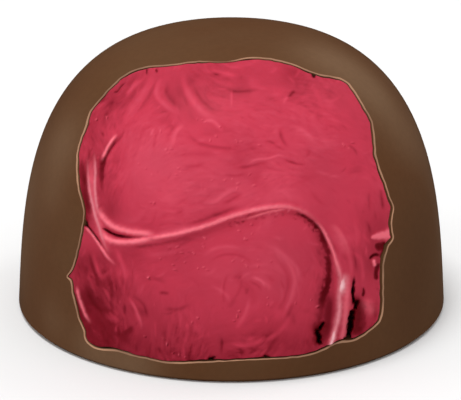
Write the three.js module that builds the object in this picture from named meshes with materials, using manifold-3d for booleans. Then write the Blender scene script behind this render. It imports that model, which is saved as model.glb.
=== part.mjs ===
// A moulded chocolate praline, its shell broken open at the front on a folded berry cream.
// Millimetres, +Z up. The origin is the centre of the flat base and the opening faces -Y.

import * as THREE from 'three';
import { mergeVertices } from 'three/addons/utils/BufferGeometryUtils.js';
import Module from 'manifold-3d';

const wasm = await Module();
wasm.setup();

// The moulded dome: a rounded, slightly tapered profile turned about Z.
const BASE_RADIUS = 15;
const DOME_HEIGHT = 19.2;
const CROWN_POWER = 3.165; // how squarely the side turns into the top
const SIDE_POWER = 2.97; // how upright the side stands
const TAPER = 0.084; // share of the radius lost from foot to crown
const FOOT_BEVEL = 0.25;
const OUTER_SEGMENTS = 64;
const OUTER_STEPS = 24;

// The shell's wall and floor, and the cream that fills it.
const WALL = 1.0;
const FLOOR = 0.8;
const FIT_GAP = 0.3; // between the cream and the chocolate
const INNER_SEGMENTS = 48;
const INNER_STEPS = 14;

// The opening is laid out on a plane that leans back: u runs along +X and v up the plane.
const PLANE_LEAN = THREE.MathUtils.degToRad(20);
const PLANE_UP = new THREE.Vector3(0, Math.sin(PLANE_LEAN), Math.cos(PLANE_LEAN));
const PLANE_OUT = new THREE.Vector3(0, -Math.cos(PLANE_LEAN), Math.sin(PLANE_LEAN));
const PLANE_REACH = 24; // clear of the dome along PLANE_OUT
const SEARCH_STEPS = 32;

// The broken rim: its outline in u and v, seen from the front and anticlockwise.
const RIM_OUTLINE = [
  [-6.4, 15.3], [-7.35, 14.75], [-8.65, 13.4], [-9.4, 12.35], [-9.9, 10.75],
  [-10.2, 9.0], [-10.0, 7.15], [-9.65, 6.05], [-9.85, 4.4], [-10.45, 2.3],
  [-10.85, 1.6], [-10.55, 1.0], [-10.3, -0.25], [-9.75, -1.9], [-9.65, -2.4],
  [-9.0, -3.05], [-7.5, -3.2], [-4.1, -3.85], [-0.8, -3.75], [2.5, -3.55],
  [5.0, -3.4], [6.8, -2.7], [8.1, -2.5], [9.15, -1.85], [9.85, -1.2],
  [10.0, 0.8], [10.0, 2.6], [10.65, 4.2], [10.55, 5.1], [10.65, 6.15],
  [10.0, 8.0], [9.45, 9.6], [9.25, 11.8], [8.3, 13.6], [7.45, 14.65],
  [5.7, 15.0], [4.2, 15.6], [2.2, 16.05], [1.2, 16.1], [-0.4, 15.75],
  [-2.7, 15.75], [-4.7, 15.55],
];
const RIM_POINTS = 108;
const BREAK_DEPTH = 0.3; // how far in the pale broken edge slopes
const BREAK_WIDTH = 0.2; // and how far across
const CUT_LIFT = 0.6; // the cut starts this far outside the dome
const CUT_DEPTH = WALL + 0.6;

// The cream's face: a fine grid inside the opening, worked into folds.
const CREAM_DEPTH = 0.45; // below the dome's outside
const CREAM_CELL = 0.44;
const CREAM_ROOT = 2.4; // how far the face's block reaches into the filling
const BLOCK_BACK = -2; // where the block's back lies, before it is trimmed
const DEEPEST = 0.75; // the folds' deepest and highest points about the cream's face
const HIGHEST = 0.34;

// Folds of the cream. Each runs along a curve in u and v; height and width are of its cross-section.
// A ridge stands up on both sides of its curve; a lip drops away on the curve's right-hand side.
const FOLDS = [
  // the upper fold's lip, which sweeps across and turns down at the right
  { form: 'lip', height: 0.55, width: 1.1, path: [
    [-8.5, 4.5], [-6.6, 4.0], [-3.5, 4.5], [-0.5, 5.6], [2.1, 6.2], [4.2, 6.1],
    [5.6, 5.1], [6.5, 3.8], [7.0, 1.9], [6.9, -0.5], [6.5, -2.7]] },
  { form: 'ridge', height: 0.3, width: 0.38, path: [
    [-8.0, 4.3], [-6.6, 4.1], [-3.5, 4.6], [-0.5, 5.7], [2.1, 6.3], [4.2, 6.2]] },
  { form: 'ridge', height: 0.32, width: 0.45, path: [
    [5.9, 4.9], [6.7, 3.8], [7.2, 1.9], [7.1, -0.5], [6.7, -2.7]] },
  // the hollow under the lip at the right
  { form: 'ridge', height: -0.4, width: 0.5, path: [
    [4.4, 5.4], [5.4, 4.6], [6.1, 3.0], [6.2, 1.2], [5.8, -0.4], [5.6, -2.7]] },
  // the roll down the left edge, and the valley between it and the shell
  { form: 'ridge', height: 0.32, width: 0.5, path: [
    [-8.9, 10.8], [-9.2, 9.0], [-9.3, 7.3], [-8.9, 5.4], [-8.2, 3.8], [-7.3, 2.5]] },
  { form: 'ridge', height: -0.4, width: 0.35, path: [
    [-9.8, 9.6], [-9.9, 7.6], [-9.6, 5.7], [-9.2, 4.8], [-8.5, 3.6]] },
  // the inner curl of the upper fold
  { form: 'ridge', height: -0.3, width: 0.4, path: [
    [-6.6, 11.6], [-7.6, 10.4], [-8.2, 9.2], [-8.4, 7.6], [-8.1, 6.1], [-7.2, 5.2]] },
  { form: 'ridge', height: 0.15, width: 0.45, path: [
    [-8.0, 5.9], [-7.4, 5.0], [-6.0, 4.6], [-4.8, 4.5]] },
  // the crack at the right, with the band of cream before it
  { form: 'ridge', height: -0.75, width: 0.28, path: [
    [8.1, 1.6], [7.9, 0.4], [7.9, -1.0], [7.75, -2.4]] },
  // the torn spots at the right edge
  { form: 'ridge', height: -0.5, width: 0.4, path: [[9.5, 3.6], [9.7, 2.7], [9.6, 1.8]] },
  { form: 'ridge', height: 0.2, width: 0.4, path: [[9.3, 4.2], [10.0, 4.6]] },
];
const FOLD_SAMPLES = 60;
const FOLD_FADE = 0.12; // share of a fold's length over which it fades in and out
const LIP_ROUNDING = 0.4; // half the width over which a lip turns down

// Wide swells of the cream: centre in u and v, height and radius.
const SWELLS = [
  { centre: [1.2, 1.2], height: 0.22, radius: 4.0 },
  { centre: [-1.5, 10.5], height: 0.16, radius: 5.5 },
  { centre: [-8.4, 0.2], height: -0.3, radius: 1.5 },
];

const CHOCOLATE = new THREE.MeshStandardMaterial({ color: 0x67492f, roughness: 0.42, metalness: 0 });
const CREAM = new THREE.MeshStandardMaterial({ color: 0xc8405a, roughness: 0.38, metalness: 0 });

/** How far a point lies inside the dome, and the direction straight out of the dome there. */
function domeAt(point) {
  const height = Math.max(point.z, 0) / DOME_HEIGHT;
  const radius = Math.max(Math.hypot(point.x, point.y), 1e-9);
  const fullRadius = BASE_RADIUS * (1 - TAPER * height);
  const share = radius / fullRadius;
  const level = share ** SIDE_POWER + height ** CROWN_POWER - 1;
  const slopeOut = SIDE_POWER * share ** (SIDE_POWER - 1) / fullRadius;
  const slopeUp = (
    SIDE_POWER * share ** SIDE_POWER * TAPER * BASE_RADIUS / fullRadius
    + CROWN_POWER * height ** (CROWN_POWER - 1)
  ) / DOME_HEIGHT;
  const normal = new THREE.Vector3(
    slopeOut * point.x / radius,
    slopeOut * point.y / radius,
    slopeUp,
  );
  const depth = -level / normal.length();
  return { depth, normal: normal.normalize() };
}

/** The dome's profile as radius and height, moved inwards by inset and started at a given height. */
class DomeProfile extends THREE.Curve {
  constructor(inset, startHeight) {
    super();
    this.arcLengthDivisions = 800;
    this.inset = inset;
    let low = 0;
    let high = Math.PI / 2;
    for (let step = 0; step < SEARCH_STEPS; step += 1) {
      const middle = (low + high) / 2;
      if (this.pointAtAngle(middle).y < startHeight) low = middle;
      else high = middle;
    }
    this.startAngle = high;
  }

  pointAtAngle(angle) {
    const height = DOME_HEIGHT * Math.sin(angle) ** (2 / CROWN_POWER);
    const taper = 1 - TAPER * height / DOME_HEIGHT;
    const radius = BASE_RADIUS * taper * Math.max(Math.cos(angle), 0) ** (2 / SIDE_POWER);
    const { normal } = domeAt(new THREE.Vector3(radius, 0, height));
    return new THREE.Vector2(radius - this.inset * normal.x, height - this.inset * normal.z);
  }

  getPoint(share, target = new THREE.Vector2()) {
    const angle = THREE.MathUtils.lerp(this.startAngle, Math.PI / 2, share);
    return target.copy(this.pointAtAngle(angle));
  }
}

/** A closed three.js geometry as a solid that can be joined and cut. */
function toSolid(geometry) {
  const bare = geometry.clone();
  bare.deleteAttribute('normal');
  bare.deleteAttribute('uv');
  const merged = mergeVertices(bare, 1e-4);
  const corners = [];
  const index = merged.index.array;
  for (let i = 0; i < index.length; i += 3) {
    const [a, b, c] = [index[i], index[i + 1], index[i + 2]];
    if (a !== b && b !== c && c !== a) corners.push(a, b, c);
  }
  const mesh = new wasm.Mesh({
    numProp: 3,
    vertProperties: Float32Array.from(merged.attributes.position.array),
    triVerts: Uint32Array.from(corners),
  });
  return new wasm.Manifold(mesh);
}

/** A solid as a named mesh. */
function toMesh(name, solid, material) {
  const { vertProperties, triVerts } = solid.getMesh();
  const geometry = new THREE.BufferGeometry();
  geometry.setAttribute('position', new THREE.BufferAttribute(vertProperties, 3));
  geometry.setIndex(new THREE.BufferAttribute(triVerts, 1));
  geometry.computeVertexNormals();
  const mesh = new THREE.Mesh(geometry, material);
  mesh.name = name;
  return mesh;
}

/** Turns a profile that starts and ends on the axis into a solid standing on +Z. */
function turned(profile, segments) {
  const geometry = new THREE.LatheGeometry(profile, segments);
  geometry.rotateX(Math.PI / 2);
  return toSolid(geometry);
}

/** The dome's outside moved inwards by inset, closed by a flat floor at a given height. */
function domeSolid(inset, floor, steps, segments) {
  const side = new DomeProfile(inset, floor).getSpacedPoints(steps);
  side[side.length - 1].x = 0;
  return turned([new THREE.Vector2(0, floor), ...side], segments);
}

/** The whole dome, with a small bevel round its foot. */
function moulding() {
  const side = new DomeProfile(0, FOOT_BEVEL).getSpacedPoints(OUTER_STEPS);
  side[side.length - 1].x = 0;
  const foot = new THREE.Vector2(side[0].x - FOOT_BEVEL, 0);
  return turned([new THREE.Vector2(0, 0), foot, ...side], OUTER_SEGMENTS);
}

/** The point at u and v on the leaning plane, moved along its outward direction. */
function fromPlane(u, v, out) {
  return new THREE.Vector3(u, 0, 0).addScaledVector(PLANE_UP, v).addScaledVector(PLANE_OUT, out);
}

/** The point on the dome, or at a depth below it, that lies at u and v. */
function onDome(u, v, depth) {
  let low = 0;
  let high = PLANE_REACH;
  for (let step = 0; step < SEARCH_STEPS; step += 1) {
    const middle = (low + high) / 2;
    if (domeAt(fromPlane(u, v, middle)).depth > depth) low = middle;
    else high = middle;
  }
  return fromPlane(u, v, high);
}

/** The rim's outline as evenly spaced points in u and v. */
function rimOutline() {
  const corners = RIM_OUTLINE.map(([u, v]) => new THREE.Vector3(u, v, 0));
  const curve = new THREE.CatmullRomCurve3(corners, true, 'centripetal');
  return curve.getSpacedPoints(RIM_POINTS).slice(0, RIM_POINTS);
}

const OUTLINE = rimOutline();
const RIM = OUTLINE.map(({ x, y }) => onDome(x, y, 0));

/** The rim moved into the chocolate by depth and towards the opening's middle by inwards. */
function rimRing(depth, inwards) {
  return RIM.map((point, i) => {
    const before = RIM[(i + RIM_POINTS - 1) % RIM_POINTS];
    const after = RIM[(i + 1) % RIM_POINTS];
    const { normal } = domeAt(point);
    const away = new THREE.Vector3().subVectors(after, before).cross(normal).normalize();
    return point.clone().addScaledVector(normal, -depth).addScaledVector(away, -inwards);
  });
}

/** A solid plug through rings of rim points, listed from the deepest to the outermost. */
function plug(rings) {
  const outline = OUTLINE.map(({ x, y }) => new THREE.Vector2(x, y));
  const cap = THREE.ShapeUtils.triangulateShape(outline, []);
  const top = (rings.length - 1) * RIM_POINTS;
  const index = [];
  for (const [a, b, c] of cap) {
    index.push(a, c, b);
    index.push(top + a, top + b, top + c);
  }
  for (let ring = 0; ring < rings.length - 1; ring += 1) {
    for (let i = 0; i < RIM_POINTS; i += 1) {
      const here = ring * RIM_POINTS + i;
      const next = ring * RIM_POINTS + (i + 1) % RIM_POINTS;
      index.push(here, next, here + RIM_POINTS);
      index.push(next, next + RIM_POINTS, here + RIM_POINTS);
    }
  }
  const geometry = new THREE.BufferGeometry().setFromPoints(rings.flat());
  geometry.setIndex(index);
  return toSolid(geometry);
}

/** A ring pushed straight out of the dome onto one plane in front of it. */
function inFront(ring) {
  return ring.map((point) => fromPlane(point.x, point.dot(PLANE_UP), PLANE_REACH));
}

/** What is broken out of the shell: a hole square to the wall, with a sloping broken edge. */
function brokenOut() {
  const lifted = rimRing(-CUT_LIFT, -CUT_LIFT * BREAK_WIDTH / BREAK_DEPTH);
  return plug([
    rimRing(CUT_DEPTH, BREAK_WIDTH),
    rimRing(BREAK_DEPTH, BREAK_WIDTH),
    lifted,
    inFront(lifted),
  ]);
}

/** The space that the cream may fill in the hole. */
function creamSpace() {
  const inwards = BREAK_WIDTH + FIT_GAP;
  const lifted = rimRing(-CUT_LIFT, inwards);
  return plug([rimRing(CREAM_ROOT, inwards), lifted, inFront(lifted)]);
}

/** Points along a fold's curve. */
function foldLine(path) {
  const corners = path.map(([u, v]) => new THREE.Vector3(u, v, 0));
  return new THREE.CatmullRomCurve3(corners, false, 'centripetal').getSpacedPoints(FOLD_SAMPLES);
}

const FOLD_LINES = FOLDS.map(({ path }) => foldLine(path));

/** The nearest place on a fold's curve: distance, plus on its left-hand side, and share of its length. */
function nearestOn(line, u, v) {
  let best = { distance: Infinity, side: 1, share: 0 };
  for (let i = 0; i < line.length - 1; i += 1) {
    const alongU = line[i + 1].x - line[i].x;
    const alongV = line[i + 1].y - line[i].y;
    const length = Math.hypot(alongU, alongV);
    const offU = u - line[i].x;
    const offV = v - line[i].y;
    const along = (offU * alongU + offV * alongV) / length ** 2;
    const clamped = THREE.MathUtils.clamp(along, 0, 1);
    const distance = Math.hypot(offU - clamped * alongU, offV - clamped * alongV);
    if (distance < best.distance) {
      const side = Math.sign(alongU * offV - alongV * offU) || 1;
      best = { distance, side, share: (i + clamped) / (line.length - 1) };
    }
  }
  return best;
}

/** The height that one fold adds at u and v. */
function foldHeight(fold, line, u, v) {
  const { distance, side, share } = nearestOn(line, u, v);
  const fade = THREE.MathUtils.smoothstep(Math.min(share, 1 - share), -0.01, FOLD_FADE);
  if (fold.form === 'ridge') return fold.height * fade * Math.exp(-((distance / fold.width) ** 2));
  const below = -side * distance;
  const edge = THREE.MathUtils.smoothstep(below, -LIP_ROUNDING, LIP_ROUNDING);
  return -fold.height * fade * edge * Math.exp(-Math.max(below, 0) / fold.width);
}

/** The cream's height above its even face at u and v. */
function creamHeight(u, v) {
  let height = 0;
  FOLDS.forEach((fold, i) => {
    height += foldHeight(fold, FOLD_LINES[i], u, v);
  });
  for (const { centre, height: rise, radius } of SWELLS) {
    const away = Math.hypot(u - centre[0], v - centre[1]);
    height += rise * Math.exp(-((away / radius) ** 2));
  }
  return THREE.MathUtils.clamp(height, -DEEPEST, HIGHEST);
}

/** A block whose front is the folded face of the cream, wide enough to cover the opening. */
function creamBlock() {
  const bounds = new THREE.Box2().setFromPoints(OUTLINE);
  const centre = bounds.getCenter(new THREE.Vector2());
  const size = bounds.getSize(new THREE.Vector2());
  const columns = Math.ceil(size.x / CREAM_CELL);
  const rows = Math.ceil(size.y / CREAM_CELL);
  const block = new THREE.BoxGeometry(size.x, size.y, 1, columns, rows, 1);
  const { position } = block.attributes;
  const corner = new THREE.Vector3();
  for (let i = 0; i < position.count; i += 1) {
    corner.fromBufferAttribute(position, i);
    const u = corner.x + centre.x;
    const v = corner.y + centre.y;
    let place = fromPlane(u, v, BLOCK_BACK);
    if (corner.z > 0) {
      place = onDome(u, v, CREAM_DEPTH);
      place.addScaledVector(domeAt(place).normal, creamHeight(u, v));
    }
    position.setXYZ(i, place.x, place.y, place.z);
  }
  return toSolid(block);
}

/** The chocolate: the moulding hollowed out and broken open. */
function chocolateShell() {
  const cavity = domeSolid(WALL, FLOOR, INNER_STEPS, INNER_SEGMENTS);
  const solid = moulding().subtract(cavity).subtract(brokenOut());
  return toMesh('chocolate_shell', solid, CHOCOLATE);
}

/** The filling: a body that fills the shell, with its folded face standing in the opening. */
function berryFilling() {
  const body = domeSolid(WALL + FIT_GAP, FLOOR + FIT_GAP, INNER_STEPS, INNER_SEGMENTS);
  const face = creamBlock().intersect(creamSpace());
  return toMesh('berry_filling', body.add(face), CREAM);
}

const praline = new THREE.Group();
praline.name = 'chocolate_praline';
praline.add(chocolateShell(), berryFilling());

export default praline;
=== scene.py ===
# A moulded chocolate praline, its shell broken open on a folded berry cream.
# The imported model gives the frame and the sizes, and the pieces made here carry the looks.

import math
import random
from collections import namedtuple

import bmesh
import bpy
import numpy as np
from bpy.props import FloatProperty, FloatVectorProperty, IntProperty, PointerProperty
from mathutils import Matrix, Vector


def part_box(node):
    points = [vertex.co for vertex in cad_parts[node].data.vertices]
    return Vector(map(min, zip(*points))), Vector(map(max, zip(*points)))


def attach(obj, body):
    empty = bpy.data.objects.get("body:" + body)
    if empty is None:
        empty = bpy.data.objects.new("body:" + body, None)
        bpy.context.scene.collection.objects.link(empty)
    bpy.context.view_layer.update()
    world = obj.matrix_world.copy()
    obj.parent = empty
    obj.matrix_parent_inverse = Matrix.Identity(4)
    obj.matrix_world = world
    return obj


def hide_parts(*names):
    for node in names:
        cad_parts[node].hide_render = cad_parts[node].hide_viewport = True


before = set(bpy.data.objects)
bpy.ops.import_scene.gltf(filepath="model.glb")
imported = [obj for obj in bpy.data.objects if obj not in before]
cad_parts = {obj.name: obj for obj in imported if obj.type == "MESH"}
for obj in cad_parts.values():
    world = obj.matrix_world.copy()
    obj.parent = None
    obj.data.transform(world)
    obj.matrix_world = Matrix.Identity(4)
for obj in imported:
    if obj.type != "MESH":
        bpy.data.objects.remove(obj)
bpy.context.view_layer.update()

bl_info = {
    "name": "Chocolate praline",
    "version": (1, 0, 0),
    "blender": (4, 5, 0),
    "location": "3D View > Sidebar > Praline",
    "description": "Builds a broken moulded chocolate with a folded berry cream filling",
    "category": "Add Mesh",
}

# Lengths below are in millimetres, and MM turns them into Blender's metres.
MM = 0.001

# Points closer than this are one point, and no radius or fade is taken as smaller than these.
WELD = 1e-5
LEAST_RADIUS = 1e-9
LEAST_FADE = 0.001

# The moulded dome: a rounded, slightly tapered profile turned about Z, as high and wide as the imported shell.
SHELL_LOW, SHELL_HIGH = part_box("chocolate_shell")
CROWN_POWER = 3.165
SIDE_POWER = 2.97
TAPER = 0.084
FOOT_BEVEL = 0.25
DOME_HEIGHT = SHELL_HIGH.z / MM
BASE_RADIUS = (SHELL_HIGH.x - SHELL_LOW.x) / 2 / MM / (1 - TAPER * FOOT_BEVEL / DOME_HEIGHT)
PROFILE_SAMPLES = 1500

# Edges sharper than these stay crisp.
SHELL_SHARP = math.radians(28)
CREAM_SHARP = math.radians(75)

# The opening is laid out on a plane that leans back: u runs along +X and v up the plane.
PLANE_LEAN = math.radians(20)
PLANE_UP = np.array([0.0, math.sin(PLANE_LEAN), math.cos(PLANE_LEAN)])
PLANE_OUT = np.array([0.0, -math.cos(PLANE_LEAN), math.sin(PLANE_LEAN)])
PLANE_REACH = 24.0
SEARCH_STEPS = 34

# The broken rim: its outline in u and v, seen from the front and anticlockwise.
RIM_OUTLINE = [
    (-6.4, 15.3), (-6.9, 15.05), (-7.35, 14.75), (-8.0, 14.13), (-8.65, 13.38), (-9.18, 12.74),
    (-9.42, 12.34), (-9.62, 11.54), (-9.9, 10.75), (-10.1, 10.1), (-10.18, 9.0), (-10.13, 8.1),
    (-9.97, 7.13), (-9.76, 6.48), (-9.65, 6.05), (-9.69, 5.37), (-9.87, 4.4), (-10.16, 3.2),
    (-10.47, 2.25), (-10.85, 1.6), (-10.62, 1.35), (-10.5, 0.6), (-10.3, -0.25), (-10.05, -1.2),
    (-9.74, -1.9), (-9.68, -2.4), (-9.38, -2.81), (-9.0, -3.05), (-8.5, -3.16), (-7.5, -3.18),
    (-6.7, -3.38), (-5.26, -3.66), (-4.1, -3.87), (-2.0, -3.8), (0.55, -3.64), (2.5, -3.57),
    (4.4, -3.47), (5.4, -3.27), (6.0, -3.05), (6.78, -2.68), (8.1, -2.48), (9.13, -1.86),
    (9.82, -1.22), (9.98, -0.48), (9.98, 0.78), (9.97, 1.77), (10.0, 2.6), (10.3, 3.6),
    (10.65, 4.18), (10.55, 4.72), (10.55, 5.5), (10.66, 6.15), (10.34, 7.0), (10.0, 8.0),
    (9.69, 8.76), (9.47, 9.6), (9.39, 10.8), (9.26, 11.8), (8.84, 12.65), (8.3, 13.6),
    (7.82, 14.33), (7.43, 14.63), (6.82, 14.81), (5.68, 14.98), (5.03, 15.21), (4.18, 15.58),
    (3.2, 15.88), (2.2, 16.05), (1.22, 16.08), (0.63, 15.97), (-0.42, 15.75), (-1.73, 15.8),
    (-2.72, 15.77), (-3.7, 15.62), (-4.7, 15.56), (-5.5, 15.51),
]
RIM_POINTS = 520

# How rough the rim is. Its seeded waves are given by how many there are round it and a seed, and the shares
# say how much the widths of the pale edge and the brown band change along them.
RIM_ROUGHNESS = 0.018
CRUMBLE_ACROSS = (90, 1)
CRUMBLE_UP = (90, 2)
WIDTH_SLOW = (17, 3)
WIDTH_QUICK = (61, 4)
GAP_WAVE = (70, 9)
SLOW_SHARE = 0.3
QUICK_SHARE = 0.22
GAP_WAVINESS = 0.012
WAVE_STRENGTHS = (0.3, 1)

# How far a cutter is carried on outside the dome and past the shell's inside, and how far the room for
# the cream stops short of the cream block's back.
CUT_LIFT = 0.25
CUTTER_REACH = 0.5
LIMIT_SHORT = 0.5

# The block of cream behind the opening reaches this far past its edge, and this deep into the dome.
BLOCK_MARGIN = 0.4
BLOCK_BACK = 2.6

# Changes along the rim: the place in u and v, how much is added there and how far it spreads.
Spot = namedtuple("Spot", "place extra spread")

# The pale broken edge.
EDGE_SPOTS = [
    Spot((-0.6, 15.75), -0.045, 1.3),
    Spot((-9.8, 4.9), -0.035, 1.7),
    Spot((10.4, 6.2), -0.035, 1.5),
    Spot((1.0, -3.6), -0.035, 3.0),
    Spot((-9.0, 13.0), 0.02, 1.5),
    Spot((9.6, 9.0), 0.02, 1.2),
    Spot((8.4, -2.3), 0.025, 1.2),
    Spot((8.2, 14.0), 0.03, 0.9),
]

# The brown band between the pale broken edge and the cream.
BAND_SPOTS = [
    Spot((10.3, 4.8), 0.15, 2.8),
    Spot((9.9, 0.4), 0.1, 1.8),
    Spot((8.9, 11.0), 0.04, 2.5),
    Spot((3.0, 15.5), 0.05, 1.2),
    Spot((1.8, 15.8), 0.04, 0.6),
    Spot((-10.0, 8.5), 0.05, 3.0),
    Spot((-9.9, 4.0), 0.05, 1.5),
]

# The dark gap between the chocolate and the cream.
GAP_SPOTS = [
    Spot((-6.2, 15.1), 0.08, 0.9),
    Spot((-2.1, 15.5), 0.11, 0.5),
    Spot((1.05, 15.85), 0.12, 0.45),
    Spot((4.85, 15.05), 0.13, 0.4),
    Spot((6.2, 14.75), 0.06, 0.8),
    Spot((8.6, 11.8), 0.05, 1.8),
    Spot((9.8, 7.5), 0.04, 2.0),
    Spot((10.2, 3.4), 0.06, 1.5),
    Spot((9.9, 0.6), 0.06, 1.6),
    Spot((7.7, -2.5), 0.05, 1.2),
    Spot((5.6, -2.9), 0.05, 1.0),
    Spot((-8.2, -3.0), 0.1, 0.7),
    Spot((-6.9, -3.1), 0.05, 0.4),
    Spot((-1.6, -3.6), 0.07, 1.4),
    Spot((2.0, -3.5), 0.06, 1.6),
]

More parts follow.
